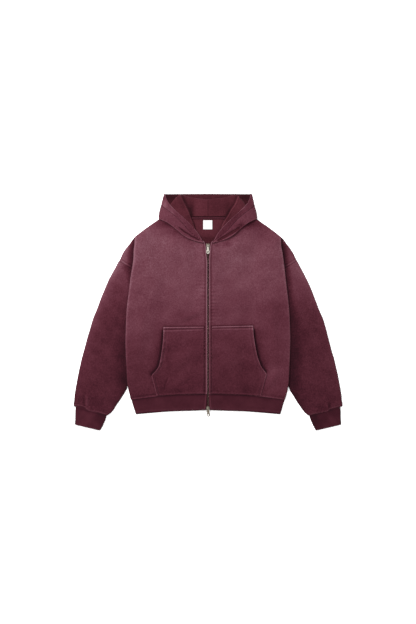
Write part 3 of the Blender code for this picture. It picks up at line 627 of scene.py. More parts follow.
def stitched(lines):
    """Vertices and faces of a row of rounded stitches along each line of points and normals."""
    ring = [(math.cos(k * math.pi / 3), math.sin(k * math.pi / 3)) for k in range(6)]
    shape = [(-0.5, 0.0, 0.0)] + [(at, size * x, size * y) for at, size in STITCH_RINGS for x, y in ring]
    shape = np.array(shape + [(0.5, 0.0, 0.0)]) * STITCH_SIZE
    faces = [(0, 1 + (k + 1) % 6, 1 + k) for k in range(6)]
    faces += [tuple(1 + corner for corner in face) for face in bands(6, 3)]
    faces += [(19, 13 + k, 13 + (k + 1) % 6) for k in range(6)]
    half = STITCH_SIZE[0] / 2
    vertices, all_faces = [], []
    for line in lines:
        run = along(line[:, :3])
        for at in np.arange(STITCH_PITCH / 2, run[-1] - half, STITCH_PITCH):
            here, before, after = (
                np.array([np.interp(place, run, column) for column in line.T])
                for place in (at, at - half, at + half))
            ahead = unit(after[:3] - before[:3])
            up = unit(here[3:] - (here[3:] @ ahead) * ahead)
            turn = np.array([ahead, np.cross(up, ahead), up])
            start = len(vertices) * len(shape)
            vertices.append(here[:3] - up * STITCH_SINK + shape @ turn)
            all_faces += [tuple(start + corner for corner in face) for face in faces]
    return np.vstack(vertices), all_faces


def mesh_piece(name, vertices, faces, look, slot, body="garment"):
    """A plain mesh piece from points in mm."""
    made = ridden(name, smooth_mesh(name, vertices, faces, look), body)
    return made


# ---------------------------------------------------------------- materials

def linear(color):
    """Linear values of an sRGB colour from 0 to 255."""
    shares = (channel / 255 for channel in color)
    return [share / 12.92 if share <= 0.04045 else ((share + 0.055) / 1.055) ** 2.4 for share in shares]


class Look:
    """A procedural material, built node by node. Textures are in the piece's own millimetres."""

    def __init__(self, name, **sockets):
        self.material = bpy.data.materials.new(name)
        self.material.use_nodes = True
        self.tree = self.material.node_tree
        self.shader = self.tree.nodes["Principled BSDF"]
        self.give(**sockets)
        self.space = self.add("ShaderNodeTexCoord").outputs["Object"]

    def add(self, kind, settings=(), **inputs):
        """A node with its settings made and its inputs linked or set."""
        made = self.tree.nodes.new(kind)
        for key, value in settings:
            setattr(made, key, value)
        for key, value in inputs.items():
            self.put(made.inputs[int(key[1:]) if key[0] == "_" else key.replace("_", " ")], value)
        return made

    def put(self, socket, value):
        """Links or sets one input."""
        if isinstance(value, bpy.types.NodeSocket):
            self.tree.links.new(value, socket)
        else:
            socket.default_value = value

    def give(self, **inputs):
        """Links or sets inputs of the shader."""
        for key, value in inputs.items():
            self.put(self.shader.inputs[key.replace("_", " ")], value)

    def math(self, operation, first, second=0.0, third=0.0):
        """The output of one Math node."""
        settings = [("operation", operation)]
        return self.add("ShaderNodeMath", settings, _0=first, _1=second, _2=third).outputs[0]

    def wash(self):
        """How faded the mesh is at each point, with its painted shade and painted highlights."""
        return self.add("ShaderNodeAttribute", [("attribute_name", "wash")]).outputs["Fac"]

    def noise(self, size, detail=2.0, roughness=0.5, stretch=(1.0, 1.0, 1.0)):
        """Noise from 0 to 1 with bumps of a size in mm."""
        place = self.add("ShaderNodeMapping", _0=self.space).outputs[0]
        place.node.inputs["Scale"].default_value = [1 / (MM * size * part) for part in stretch]
        made = self.add("ShaderNodeTexNoise", Vector=place, Scale=1.0, Detail=detail, Roughness=roughness)
        return made.outputs["Fac"]

    def about(self, texture, amount):
        """A texture from 0 to 1 turned into a change of plus or minus the amount."""
        return self.math("MULTIPLY_ADD", texture, 2 * amount, -amount)

    def ramp(self, stops, share):
        """A colour ramp over positions from 0 to 1."""
        made = self.add("ShaderNodeValToRGB", Fac=share)
        elements = made.color_ramp.elements
        while len(elements) < len(stops):
            elements.new(0.5)
        for element, (position, color) in zip(elements, stops):
            element.position = position
            element.color = (*color, 1.0)
        return made.outputs["Color"]

    def bump(self, height, depth, strength=1.0, before=None):
        """The normal of a height from 0 to 1 that stands for a depth in mm."""
        made = self.add("ShaderNodeBump", Strength=strength, Distance=depth * MM, Height=height)
        if before:
            self.put(made.inputs["Normal"], before)
        return made.outputs["Normal"]


def dyed(stops, exposure=EXPOSURE):
    """Ramp stops as paint for this light."""
    return [(at, [exposure * part for part in linear(color)]) for at, color in stops]


# Unevenness of the dye: size in mm, amount and detail. Nap: size, detail and roughness, then its depth in mm
# and its strength.
FLEECE_GRAIN = ((60.0, 0.10, 3.0), (13.0, 0.10, 3.0), (4.5, 0.27, 2.0), (2.4, 0.32, 2.0), (1.2, 0.16, 2.0))
FLEECE_NAP = ((0.7, 2.0, 0.7, 0.25, 0.7), (5.0, 3.0, 0.6, 0.5, 0.6))
RIB_GRAIN = ((40.0, 0.10, 3.0), (9.0, 0.08, 3.0), (2.0, 0.08, 3.0))
RIB_NAP = ((0.8, 2.0, 0.6, 0.2, 0.6),)


def cotton_look(name, stops, grain=FLEECE_GRAIN, nap=FLEECE_NAP, dullness=0.95, mottle=1.0):
    """Washed cotton, fleece or rib: faded as the mesh says, darker at its painted shade and lighter at its
    painted highlights, with fine speckle and a short nap.
    """
    look = Look(name, Roughness=dullness, Sheen_Weight=0.03, Sheen_Roughness=0.5, Specular_IOR_Level=0.05)
    share = look.wash()
    for size, amount, detail in grain:
        share = look.math("ADD", share, look.about(look.noise(size, detail), amount * mottle))
    normal = None
    for size, detail, roughness, depth, strength in nap:
        normal = look.bump(look.noise(size, detail, roughness), depth, strength, normal)
    stops = [(at * RAMP_SCALE, color) for at, color in stops]
    look.give(Base_Color=look.ramp(dyed(stops), look.math("MULTIPLY", share, RAMP_SCALE)), Normal=normal)
    return look.material


def woven_look(name, light, dark, pitch, exposure=EXPOSURE):
    """A flat woven tape or label: crossed fine threads."""
    look = Look(name, Roughness=0.9, Specular_IOR_Level=0.05)
    parts = look.add("ShaderNodeSeparateXYZ", _0=look.space).outputs
    waves = [look.math("SINE", look.math("MULTIPLY", part, 2 * math.pi / (pitch * MM))) for part in parts[:2]]
    weave = look.math("MULTIPLY_ADD", look.math("MULTIPLY", *waves), 0.5, 0.5)
    share = look.math("ADD", look.math("MULTIPLY", weave, 0.4), look.math("MULTIPLY", look.noise(6.0), 0.6))
    stops = dyed([(0.2, dark), (0.8, light)], exposure)
    color = look.ramp(stops, look.math("ADD", share, look.wash()))
    look.give(Base_Color=color, Normal=look.bump(weave, 0.12, 0.6))
    return look.material


def metal_look(name, light, dark, roughness):
    """Antique metal: bright where it is rubbed, darker in patches, finely scratched."""
    look = Look(name, Metallic=1.0)
    share = look.math("ADD", look.math("MULTIPLY", look.noise(5.0, 3.0, 0.5), 0.8),
                      look.math("MULTIPLY", look.noise(0.6, 2.0), 0.2))
    scratches = look.noise(0.5, 2.0, 0.5, (0.3, 4.0, 1.0))
    look.give(Base_Color=look.ramp(dyed([(0.25, dark), (0.6, light)], 1.0), share),
              Roughness=look.math("MULTIPLY_ADD", share, -0.25, roughness + 0.12),
              Normal=look.bump(scratches, 0.03, 0.4))
    return look.material


# Colours by how faded they are: 0 is the deepest dye, 1 the palest cloth and 1.25 the worn edges. Painted
# shade and painted highlights run down and up the same ramp.
WINE = [
    (0.0, (50, 14, 25)), (0.25, (70, 23, 36)), (0.5, (92, 39, 52)), (0.75, (108, 54, 68)),
    (1.0, (126, 73, 86)), (1.25, (148, 100, 113))]
RED_INSIDE = [
    (0.0, (48, 11, 20)), (0.35, (76, 27, 37)), (0.7, (98, 42, 53)), (1.0, (112, 56, 67)),
    (1.25, (128, 76, 88))]

looks = {
    "fleece": cotton_look("washed_fleece_look", WINE),
    "hood": cotton_look("hood_fleece_look", WINE),
    "inside": cotton_look("inner_fleece_look", RED_INSIDE, mottle=0.8),
    "rib": cotton_look("rib_knit_look", WINE, RIB_GRAIN, RIB_NAP, 0.92),
    "tape": woven_look("tape_look", (96, 43, 55), (58, 21, 31), 0.9),
    "label": woven_look("label_look", (255, 255, 255), (245, 243, 243), 0.6, 0.44),
    "thread": woven_look("thread_look", (136, 92, 103), (104, 60, 72), 0.5),
    "teeth": metal_look("teeth_look", (144, 113, 107), (86, 61, 59), 0.42),
    "nickel": metal_look("nickel_look", (188, 182, 172), (96, 90, 82), 0.3),
    "worn_nickel": metal_look("worn_nickel_look", (122, 114, 102), (54, 48, 43), 0.35),
}


# ---------------------------------------------------------------- pieces

# Welts and ditches beside each kind of piece's edges: the edge, how far from it, the width and the height
WELTS = {
    "pocket": [("right", 3.0, 3.0, 0.6), ("right", 9.5, 2.2, -0.4)],
    "front": [("left", 7.0, 1.6, -0.9), ("first", 2.5, 2.0, 0.9)],
    "hem_band": [("last", 7.0, 1.5, -0.4)],
    "shoulder": [("last", 4.5, 2.5, 0.8), ("last", 9.0, 2.0, -0.4)],
    "sleeve": [("last", 3.5, 2.2, 0.6), ("first", 4.0, 2.5, 0.5)],
    "cuff": [("last", 5.0, 1.5, -0.3)],
    "hood": [("left", 2.8, 2.4, 0.8)],
    "hood_lining": [("left", 2.5, 2.0, 0.6)],
}

# How much lighter the cloth is beside those edges, from wear and painted highlights on the welts, and where
# it is negative, how much darker, from painted shade in the ditches, along the seams and under overlapping
# layers
EDGE_WEAR_AND_PAINTED_SHADING = {
    "pocket": [("right", 1.0, 2.2, 0.45), ("right", 9.5, 2.2, -0.14), ("right", 14.0, 2.4, 0.1),
               ("first", 3.0, 2.4, 0.24), ("first", 0.0, 1.8, -0.3)],
    "front": [("first", 2.5, 2.4, 0.26), ("first", 8.5, 3.0, -0.14)],
    "hem_band": [("first", 5.0, 4.0, -0.3), ("last", 8.0, 2.4, 0.14), ("last", 0.0, 4.0, -0.08)],
    "shoulder": [("last", 4.5, 2.2, 0.16), ("last", 9.5, 2.4, -0.2)],
    "sleeve": [("last", 5.0, 2.6, 0.3), ("first", 5.0, 2.5, 0.1)],
    "cuff": [("first", 10.0, 5.0, -0.2), ("last", 2.0, 2.0, 0.12)],
    "hood": [("left", 1.6, 2.4, 0.5)],
    "hood_lining": [("left", 3.0, 2.0, 0.08), ("left", 0.5, 1.6, -0.25)],
}


def nudge(cloth, table):
    """Shifts parts of a piece in plan, so that its outline runs as shown. A row is x, y, radius and the shift
    in x, or in x and y."""
    for x, y, radius, *shift in table:
        weight = np.exp(-((cloth.plan[..., 0] - x) ** 2 + (cloth.plan[..., 1] - y) ** 2) / radius ** 2)
        cloth.points[..., :len(shift)] += weight[..., None] * shift
    cloth.settle()


def steer(cloth, edge, table, axis, blend):
    """Moves one edge along x (axis 0) or y (axis 1) where the cloth faces up, as a table of place and shift
    gives it. The place is y, or how far x is from the middle. The move fades out within the blend."""
    place = np.abs(cloth.plan[..., 0]) if axis else cloth.plan[..., 1]
    weight = (1 - smoothstep(cloth.away(edge) / blend)) * smoothstep(cloth.normals[..., 2] / 0.3)
    cloth.points[..., axis] += weight * np.interp(place, *zip(*sorted(table)))
    cloth.settle()


def mirrored(places, side):
    """The left half's places, or their mirror images for the right half."""
    return [(side * x, *rest) for x, *rest in places]


# Creases of the torso's upper layers: the curve's points, its width and its height
TORSO_CREASES = [
    ([(37, 222), (90, 245), (140, 259)], 25, 2.5),
    ([(-40, 215), (-100, 236), (-160, 246)], 28, 1.8),
    ([(-111, -44), (-62, -30), (-15, -7)], 10, -1.5),
    ([(-105, -26), (-60, -12), (-15, 10)], 12, 1.5),
    ([(-52, -126), (-90, -170), (-126, -222)], 22, 3.0),
    ([(-152, -126), (-158, -160), (-155, -200)], 12, -2.0),
    ([(-52, -244), (-80, -262), (-111, -274)], 9, -1.5),
    ([(-44, -296), (-30, -294), (-15, -289)], 3.5, 1.5),
    ([(22, -96), (66, -158), (111, -222)], 25, 3.0),
    ([(22, -126), (32, -155), (37, -185)], 12, -1.6),
    ([(120, -120), (132, -180), (128, -240)], 14, -1.4),
    ([(-230, 60), (-246, -60), (-255, -200)], 18, 2.0),
    ([(228, 100), (240, -40), (255, -180)], 18, 2.2),
    ([(-200, -20), (-150, -30), (-90, -28)], 16, 1.2),
    ([(60, 40), (120, 20), (190, 30)], 18, 1.3),
    ([(-262, -215), (-230, -262), (-190, -284)], 12, 1.8),
    ([(262, -205), (236, -255), (200, -282)], 12, 1.8),
    ([(-268, 250), (-262, 190), (-266, 120)], 10, 1.2),
    ([(268, 250), (262, 190), (266, 120)], 10, 1.2),
]

# How faded the torso is, by height
FADE_BY_HEIGHT = [(-330, 0.40), (-250, 0.50), (-100, 0.62), (-20, 0.75), (60, 0.86), (180, 0.93), (300, 0.98)]

# How each front differs: shifts of its outline, shifts of its zip edge by height, how much lighter the fold
# at its side is, from wear and a painted highlight, and its zip's welt: how much lighter it is, from wear and
# a painted highlight, its height and the strength of the puckers beside it
FRONT_SHIFTS = {
    "left": [(275, 246, 22, -3.0), (283, -320, 12, 1.4)],
    "right": [(-281, 185, 38, 3.5), (-275, 250, 16, 1.5), (-283, -320, 12, -2.2)],
}
ZIP_SHIFTS = {
    "left": [(200, 0.0), (222, -1.5), (238, -2.8), (250, -1.0), (262, 3.0)],
    "right": [
        (-323, 0.0), (-290, 1.7), (180, 1.7), (205, 1.0), (222, 1.5), (238, 2.8), (250, 1.0), (262, -3.0)],
}
FOLD_WEAR_AND_HIGHLIGHT = {"left": 0.16, "right": 0.28}
ZIP_WELT = {"left": (0.32, 1.2, 2.0), "right": (0.82, 1.6, 1.4)}

# Paler and darker patches of the torso and of each pocket; the dark ones beside and below the hood's lower
# edge are painted shadow
TORSO_PATCHES = [
    (272, -10, 60, 60, -0.10), (286, -180, 26, 100, 0.10), (240, -250, 45, 60, 0.21),
    (200, 300, 70, 30, -0.20), (33, 247, 14, 10, -0.22), (70, 250, 16, 9, -0.30), (-136, 292, 30, 14, -0.20),
    (118, 44, 50, 40, -0.07),
    (205, 270, 40, 30, -0.12), (211, 7, 40, 40, -0.07), (-237, -70, 55, 60, 0.10), (-229, 244, 60, 40, 0.07),
    (104, 200, 70, 50, 0.06), (-155, 133, 60, 50, 0.05), (259, 22, 40, 50, -0.06), (-67, -7, 60, 20, -0.08),
    (-148, 322, 48, 13, -0.42), (148, 322, 48, 13, -0.42), (60, 90, 60, 40, 0.02), (-60, 60, 50, 60, 0.05),
    (150, 120, 60, 50, 0.04), (-190, 20, 50, 60, -0.03), (-100, -210, 40, 30, 0.06), (90, -190, 40, 40, 0.06),
    (-175, -290, 50, 18, -0.06), (150, -285, 40, 18, -0.05), (-30, -150, 20, 80, -0.04),
]
POCKET_PATCHES = {
    "left": [(60, -130, 30, 60, 0.05), (130, -190, 35, 60, -0.07)],
    "right": [(-146, -170, 10, 60, -0.12)],
}


def torso_form(plan):
    """How far the torso's layers rise together above the solids."""
    clear_of_zip = smoothstep((np.abs(plan[..., 0]) - 10.0) / 18.0)
    lumps = 0.6 * uneven(plan, 95.0, 3) + 0.3 * uneven(plan, 40.0, 4)
    return clear_of_zip * (creases(plan, TORSO_CREASES) + lumps)


def torso_fade_and_shade(plan):
    """How faded the torso is: palest at the shoulders and darkest at the hem, with patches of painted shadow
    beside the hood's lower edge.
    """
    fade_with_painted_shade = np.interp(plan[..., 1], *zip(*FADE_BY_HEIGHT))
    return fade_with_painted_shade + blobs(plan, TORSO_PATCHES) + 0.05 * uneven(plan, 70.0, 5)


# Shifts of the pockets' mouths and top edges, the seams along the tops as distances from the edge at the
# outer end and at the zip, and the short gathers at the mouths
POCKET_MOUTH = {
    "left": [(-225, 6.0), (-200, 3.0), (-160, 0.0)],
    "right": [(-238, 0.0), (-222, 10.0), (-200, 11.5), (-178, 9.5), (-140, 7.5), (-100, 5.0), (-60, 2.5)],
}
POCKET_TOP = {"left": [(15, -1.0), (166, 1.0)], "right": [(15, -1.5), (166, -4.0)]}
POCKET_SEAMS = {
    "left": ((2.0, 3.0), (7.0, 7.0), (12.5, 10.5)),
    "right": ((3.0, 3.5), (8.5, 7.5), (15.5, 11.5)),
}
POCKET_GATHERS = {
    "left": [([(166, -64), (172, -54)], 3.0, 1.2)],
    "right": [([(-164, -113), (-154, -101)], 2.6, 1.6), ([(-167, -137), (-158, -127)], 2.6, 1.2),
              ([(-178, -190), (-165, -171)], 3.0, 1.6),
              ([(-146, -232), (-158, -268), (-168, -302)], 2.8, -1.1)],
}


def make_pocket(name):
    """One pocket on its front, with a stitched top, mouth and side. Its mouth stands open a little."""
    cloth = Cloth("pocket_" + name, FINE_STEPS, FLEECE)
    steer(cloth, "right", POCKET_MOUTH[name], 0, 40.0)
    steer(cloth, "last", POCKET_TOP[name], 1, 30.0)
    top, mouth, low, plan = cloth.from_last, cloth.from_right, cloth.from_first, cloth.plan
    open_part = smoothstep((low - 70.0) / 30.0) * smoothstep((top - 4.0) / 20.0)
    cloth.raised = torso_form(plan) + 1.6 * open_part * np.exp(-mouth / 10.0)
    short = creases(plan, POCKET_GATHERS[name])
    across = np.abs(plan[..., 0])
    edge, groove, second = (np.interp(across, (15, 166), seam[::-1]) for seam in POCKET_SEAMS[name])
    cloth.relief = (
        edged(cloth, WELTS) + ridges(top, (edge, 2.2, 0.9), (groove, 2.0, -1.0), (second, 2.4, 0.6)) + short)
    corner = ridge(mouth, 0.0, 12.0, 0.25) * ridge(top, 0.0, 16.0, 1.0)
    # The fade, lighter on the top's stitched edges from wear and painted highlight with painted shade in the
    # groove between them, the edges' wear and painted shade, and painted highlight and shade along the
    # gathers at the mouth
    cloth.wash = (
        torso_fade_and_shade(plan) - 0.08 + ridges(top, (edge, 2.2, 0.62), (groove, 1.9, -0.55), (second, 2.0, 0.4))
        + edged(cloth, EDGE_WEAR_AND_PAINTED_SHADING) + 0.2 * short + corner + blobs(plan, POCKET_PATCHES[name]))
    return cloth


def pocket_shadow(plan, pocket):
    """The dark on a front beside its pocket's open mouth and above the pocket's top."""
    edge = pocket.points[:, -1, :2]
    mouth, share = to_path(plan, edge[int(np.argmax(np.abs(edge[:, 0]))):][::3])
    ends = smoothstep(np.minimum(share * 2, 1 - share) / 0.16 + 0.1)
    above, _ = to_path(plan, pocket.points[-1, ::6, :2])
    return np.maximum(ridges(mouth, (0.0, 6.0, 0.85), (0.0, 20.0, 0.3)) * ends, ridge(above, 0.0, 4.0, 0.42))


def make_front(name, side, pocket):
    """One front: creases, the zip's stitched welt, puckers beside it, the seams round it, and painted shadow
    by the pocket's mouth and below the hood's lower edge."""
    cloth = Cloth("front_" + name, FINE_STEPS, FLEECE)
    cloth.reach_out("first", 1.5, 12.0)
    cloth.reach_out("last", 3.2, 16.0)
    nudge(cloth, FRONT_SHIFTS[name])
    steer(cloth, "left", ZIP_SHIFTS[name], 0, 20.0)
    away, hem, plan = cloth.from_left, cloth.from_first, cloth.plan
    across, height = np.abs(plan[..., 0]), plan[..., 1]
    puffed = ridge(hem, 14.0, 13.0, 1.0) * smoothstep((across - 12.0) / 30.0)
    cloth.raised = (torso_form(plan) + puffed) * cloth.upward
    low = smoothstep((200.0 - height) / 140.0) * smoothstep((away - 6) / 4)
    beside_zip = low * puckers(away, height, 12.5, 17.0, 1.0, 6 + side)
    welt_wear_and_highlight, lift, strength = ZIP_WELT[name]
    cloth.relief = (
        edged(cloth, WELTS) + ridge(away, 3.0, 2.2, lift) + strength * beside_zip
        + puckers(hem, away, 17.0, 14.0, 0.5, 16 + side))
    # Painted shadow on the front below the hood's lower edge
    hood, _ = to_path(plan, curve(mirrored(HOOD_HEM, side)))
    shade_below_hood = 0.5 * np.exp(-hood / 11.0) * smoothstep((across - 20) / 90)
    # Lighter along the fold at the side, from wear and a painted highlight
    fold_wear_and_highlight = ridge(across.max(axis=1, keepdims=True) - across, 3.0, 4.0, FOLD_WEAR_AND_HIGHLIGHT[name])
    fold_wear_and_highlight *= smoothstep((height + 260) / 160)
    # Painted shade in the stitched ditch beside the zip's welt
    ditch = 0.26 + 0.22 * smoothstep((height + 200) / 250)
    # The torso's fade and painted shadows, the hem seam's wear and painted shade, the zip's welt lighter from
    # wear and painted highlight, painted shadow by the pocket, painted shade where the cloth turns away from
    # facing up, and painted highlight and shade on the puckers beside the zip
    cloth.wash = (
        torso_fade_and_shade(plan) + edged(cloth, EDGE_WEAR_AND_PAINTED_SHADING) + ridges(away, (2.0, 2.3, welt_wear_and_highlight), (7.6, 2.4, -ditch))
        - pocket_shadow(plan, pocket)
        - 0.2 * (1 - cloth.upward) - shade_below_hood + fold_wear_and_highlight + 0.24 * beside_zip)
    return cloth


BACK_PATCHES = [(0, 268, 40, 14, -0.35), (-62, 318, 16, 30, -0.25), (62, 318, 16, 30, -0.25)]


def make_back():
    """The back: brushed inside it at the neck, and shallow creases on the side that it lies on."""
    cloth = Cloth("back_panel", BACK_STEPS, FLEECE)
    cloth.reach_out("first", 1.5, 12.0)
    inside = smoothstep(np.minimum(cloth.from_first, cloth.from_last) / 40.0)
    cloth.under = inside * np.clip(0.5 + 0.6 * uneven(cloth.plan, 90.0, 12), 0.0, 1.0)
    cloth.wash = 0.62 + blobs(cloth.plan, BACK_PATCHES)
    cloth.inner_fade_and_painted_shading = torso_fade_and_shade(cloth.plan) - 0.05
    return cloth


def tuck(cloth, depth, reach):
    """Flattens a tube's first rows, so that they lie inside the piece that is sewn to them."""
    share = 1 - smoothstep(cloth.from_first / reach)
    middle = cloth.points[..., 2].max() / 2
    cloth.points[..., 2] = middle + (cloth.points[..., 2] - middle) * (1 - depth * share)
    cloth.settle()


def rib_relief(cloth):
    """Ribs of knit running from the first to the last edge."""
    fade = smoothstep((cloth.from_first - 8.0) / 10.0) * smoothstep(cloth.from_last / 5.0)
    share = cloth.from_left / cloth.from_left[:, -1:]
    count = round(cloth.from_left[:, -1].mean() / RIB_PITCH)
    return RIB_DEPTH * fade * np.sin(2 * math.pi * count * share)


# Shifts of the hem band's lower edge, by how far from the middle
HEM_EDGE = [(20, 0.0), (70, -1.3), (110, -0.6), (150, 0.5), (215, 2.0), (240, 1.8), (265, 0.6), (290, 0.0)]


def make_hem():
    """The hem band: fine ribs across it, a seam above and a stitched edge below."""
    cloth = Cloth("hem_band", RIB_STEPS, RIB)
    cloth.reach_out("first", 4.0, 18.0)
    cloth.reach_out("last", 2.0, 14.0)
    steer(cloth, "last", HEM_EDGE, 1, 20.0)
    tuck(cloth, 0.4, 16.0)
    zip_edge = np.minimum(cloth.from_left, cloth.from_right)
    ribs = rib_relief(cloth) * smoothstep((zip_edge - 9) / 2)
    gathers = cloth.upward * puckers(cloth.from_first, cloth.from_left, 16.0, 22.0, 0.35, 22)
    cloth.relief = edged(cloth, WELTS) + ribs + gathers + ridges(zip_edge, (3.0, 2.2, 0.9), (7.5, 1.6, -0.5))
    lumps = 0.05 * uneven(cloth.plan, 60.0, 21)
    # Darker by painted shadow below the fronts' edge, lighter stitched lines and welt by the zip from wear
    # and painted highlight, and darker at the lower edge by painted shade
    cloth.wash = 0.33 + edged(cloth, EDGE_WEAR_AND_PAINTED_SHADING) + lumps + ridge(zip_edge, 2.4, 2.0, 0.3)
    return cloth


# The torso's outline at the sides, and the painted shade of the shoulders and sleeves beside it: how light
# they are in that shade, how wide it is, and how faded they are outside it. A sleeve's rows start with y and
# end with how much lighter its outer fold is.
TORSO_SIDE = [(-320, 292), (-150, 304), (-15, 302), (45, 294), (111, 288), (181, 279), (251, 273), (274, 270)]
SHOULDER_SHIFTS = {"left": [(276, 263, 22, 2.4, 1.4)], "right": [(-276, 263, 22, -0.8, 1.0)]}
SHOULDER_SHADE = {"left": (0.0, 18.0, 0.90), "right": (0.20, 20.0, 1.10)}
SHOULDER_PATCHES = {
    "left": [(284, 260, 11, 11, 0.50)],
    "right": [(-286, 258, 9, 9, 0.35), (-300, 240, 13, 13, 0.35)],
}
SLEEVE_SHADES = {
    "left": [
        (-380, 0.0, 44, 0.34, 0.02), (-311, 0.0, 44, 0.38, 0.05), (-252, 0.0, 44, 0.46, 0.15),
        (-178, 0.0, 42, 0.45, 0.22), (-104, 0.08, 44, 0.43, 0.25), (-15, 0.10, 26, 0.46, 0.30),
        (45, 0.17, 20, 0.60, 0.30), (104, 0.20, 20, 0.76, 0.30), (133, 0.20, 20, 0.86, 0.25),
        (163, 0.0, 19, 0.88, 0.20)],
    "right": [
        (-380, 0.0, 25, 0.36, 0.0), (-311, 0.0, 25, 0.40, 0.0), (-252, 0.06, 44, 0.43, 0.08),
        (-178, 0.14, 42, 0.45, 0.20), (-104, 0.22, 30, 0.42, 0.36), (-15, 0.32, 15, 0.42, 0.58),
        (45, 0.46, 8, 0.52, 0.50), (104, 0.46, 8, 0.62, 0.52), (133, 0.28, 10, 0.68, 0.60),
        (163, 0.20, 34, 0.98, 0.30)],
}
OUTER_FOLD = {"left": 10.0, "right": 20.0}


def shaded(cloth, floor, width, base):
    """How faded a sleeve or shoulder is away from the torso, darkened by painted shade beside the torso,
    where its upper layer lies in the torso's shadow, on the faces that look up.
    """
    past = np.abs(cloth.plan[..., 0]) - np.interp(cloth.plan[..., 1], *zip(*TORSO_SIDE))
    share = np.exp(-(np.maximum(past, 0.0) / width) ** 2.5) * smoothstep(cloth.normals[..., 2] + 0.5)
    return base - (base - floor) * share


def make_shoulder(name):
    """The upper sleeve that lies past the fold over the shoulder, down to the armhole seam."""
    cloth = Cloth("shoulder_" + name, FINE_STEPS, FLEECE)
    cloth.reach_out("first", 9.0, 30.0)
    nudge(cloth, SHOULDER_SHIFTS[name])
    down = cloth.from_last
    clear = smoothstep(np.minimum(cloth.from_first, down) / 14.0)
    cloth.raised = cloth.upward * 0.5 * uneven(cloth.plan, 60.0, 31) * clear
    cloth.relief = edged(cloth, WELTS)
    # Painted shade beside the torso, lighter patches where it meets the torso's fold, a dark seam line, and
    # the armhole seam's wear and painted shade
    cloth.wash = (shaded(cloth, *SHOULDER_SHADE[name]) + blobs(cloth.plan, SHOULDER_PATCHES[name])
                  - 0.3 * np.exp(-down / 1.6) + edged(cloth, EDGE_WEAR_AND_PAINTED_SHADING))
    return cloth


# The sleeves: creases, patches of painted highlight and shade along the creases above the cuff and of painted
# shade beside the torso, shifts of the outline, and shifts of the end at the cuff, by x
SLEEVE_CREASES = {
    "left": [
        ([(437, -328), (440, -340), (445, -352)], 3.5, 1.8),
        ([(441, -328), (446, -340), (451, -352)], 2.6, -2.2),
        ([(405, -352), (418, -349), (432, -348)], 3.5, -1.2),
        ([(300, 60), (345, -20), (380, -120)], 16, 2.0),
        ([(330, -120), (372, -190), (396, -260)], 18, 2.0),
        ([(420, -180), (440, -240), (448, -300)], 14, 1.8),
        ([(366, -320), (372, -340), (378, -360)], 5, 1.2),
        ([(470, -310), (474, -330), (476, -352)], 5, 1.2),
    ],
    "right": [
        ([(-436, -298), (-446, -322), (-448, -352)], 4.5, 3.4),
        ([(-462, -306), (-457, -326), (-455, -348)], 4.5, -2.2),
        ([(-300, 90), (-340, 0), (-384, -110)], 16, 2.2),
        ([(-352, -120), (-385, -200), (-408, -270)], 18, 2.0),
        ([(-380, -290), (-392, -320), (-398, -356)], 6, 1.4),
        ([(-474, -300), (-480, -326), (-482, -346)], 5, 1.6),
    ],
}
SLEEVE_PATCHES = {
    "left": [(448, -346, 5, 10, -0.3), (440, -343, 4, 10, 0.12), (420, -352, 16, 4, -0.14),
             (320, -312, 14, 14, -0.24)],
    "right": [(-447, -334, 5, 24, 0.24), (-457, -330, 5, 22, -0.2), (-474, -318, 12, 16, -0.05),
              (-406, -318, 22, 18, -0.08), (-336, -336, 14, 14, -0.20)],
}
SLEEVE_SHIFTS = {
    "left": [(323, 116, 16, 1.5, 1.0), (345, -345, 28, -1.2), (352, -366, 18, -6.0),
             (334, -338, 12, -1.8), (360, -376, 10, -4.4),
             (330, 185, 14, 1.6), (364, 118, 28, -2.0), (410, 7, 24, -2.6),
             (457, -148, 24, -1.7), (469, -192, 24, -1.9)],
    "right": [(-323, 116, 16, -1.5, 1.0), (-345, -345, 28, 1.2), (-352, -366, 18, 6.0),
              (-360, -376, 10, 3.4),
              (-333, 185, 16, -2.0), (-397, 52, 20, -1.4), (-413, 7, 20, 1.6),
              (-450, -104, 28, -1.6), (-472, -192, 20, 1.2)],
}
SLEEVE_ENDS = {
    "left": [(368, -1), (405, -3), (426, -5.5), (443, -6), (450, 0), (470, 0), (490, 0)],
    "right": [
        (368, 0), (403, 0), (425, -2), (435, -4.5), (446, -2.5), (453, 4), (468, 6), (485, 3), (495, 0)],
}


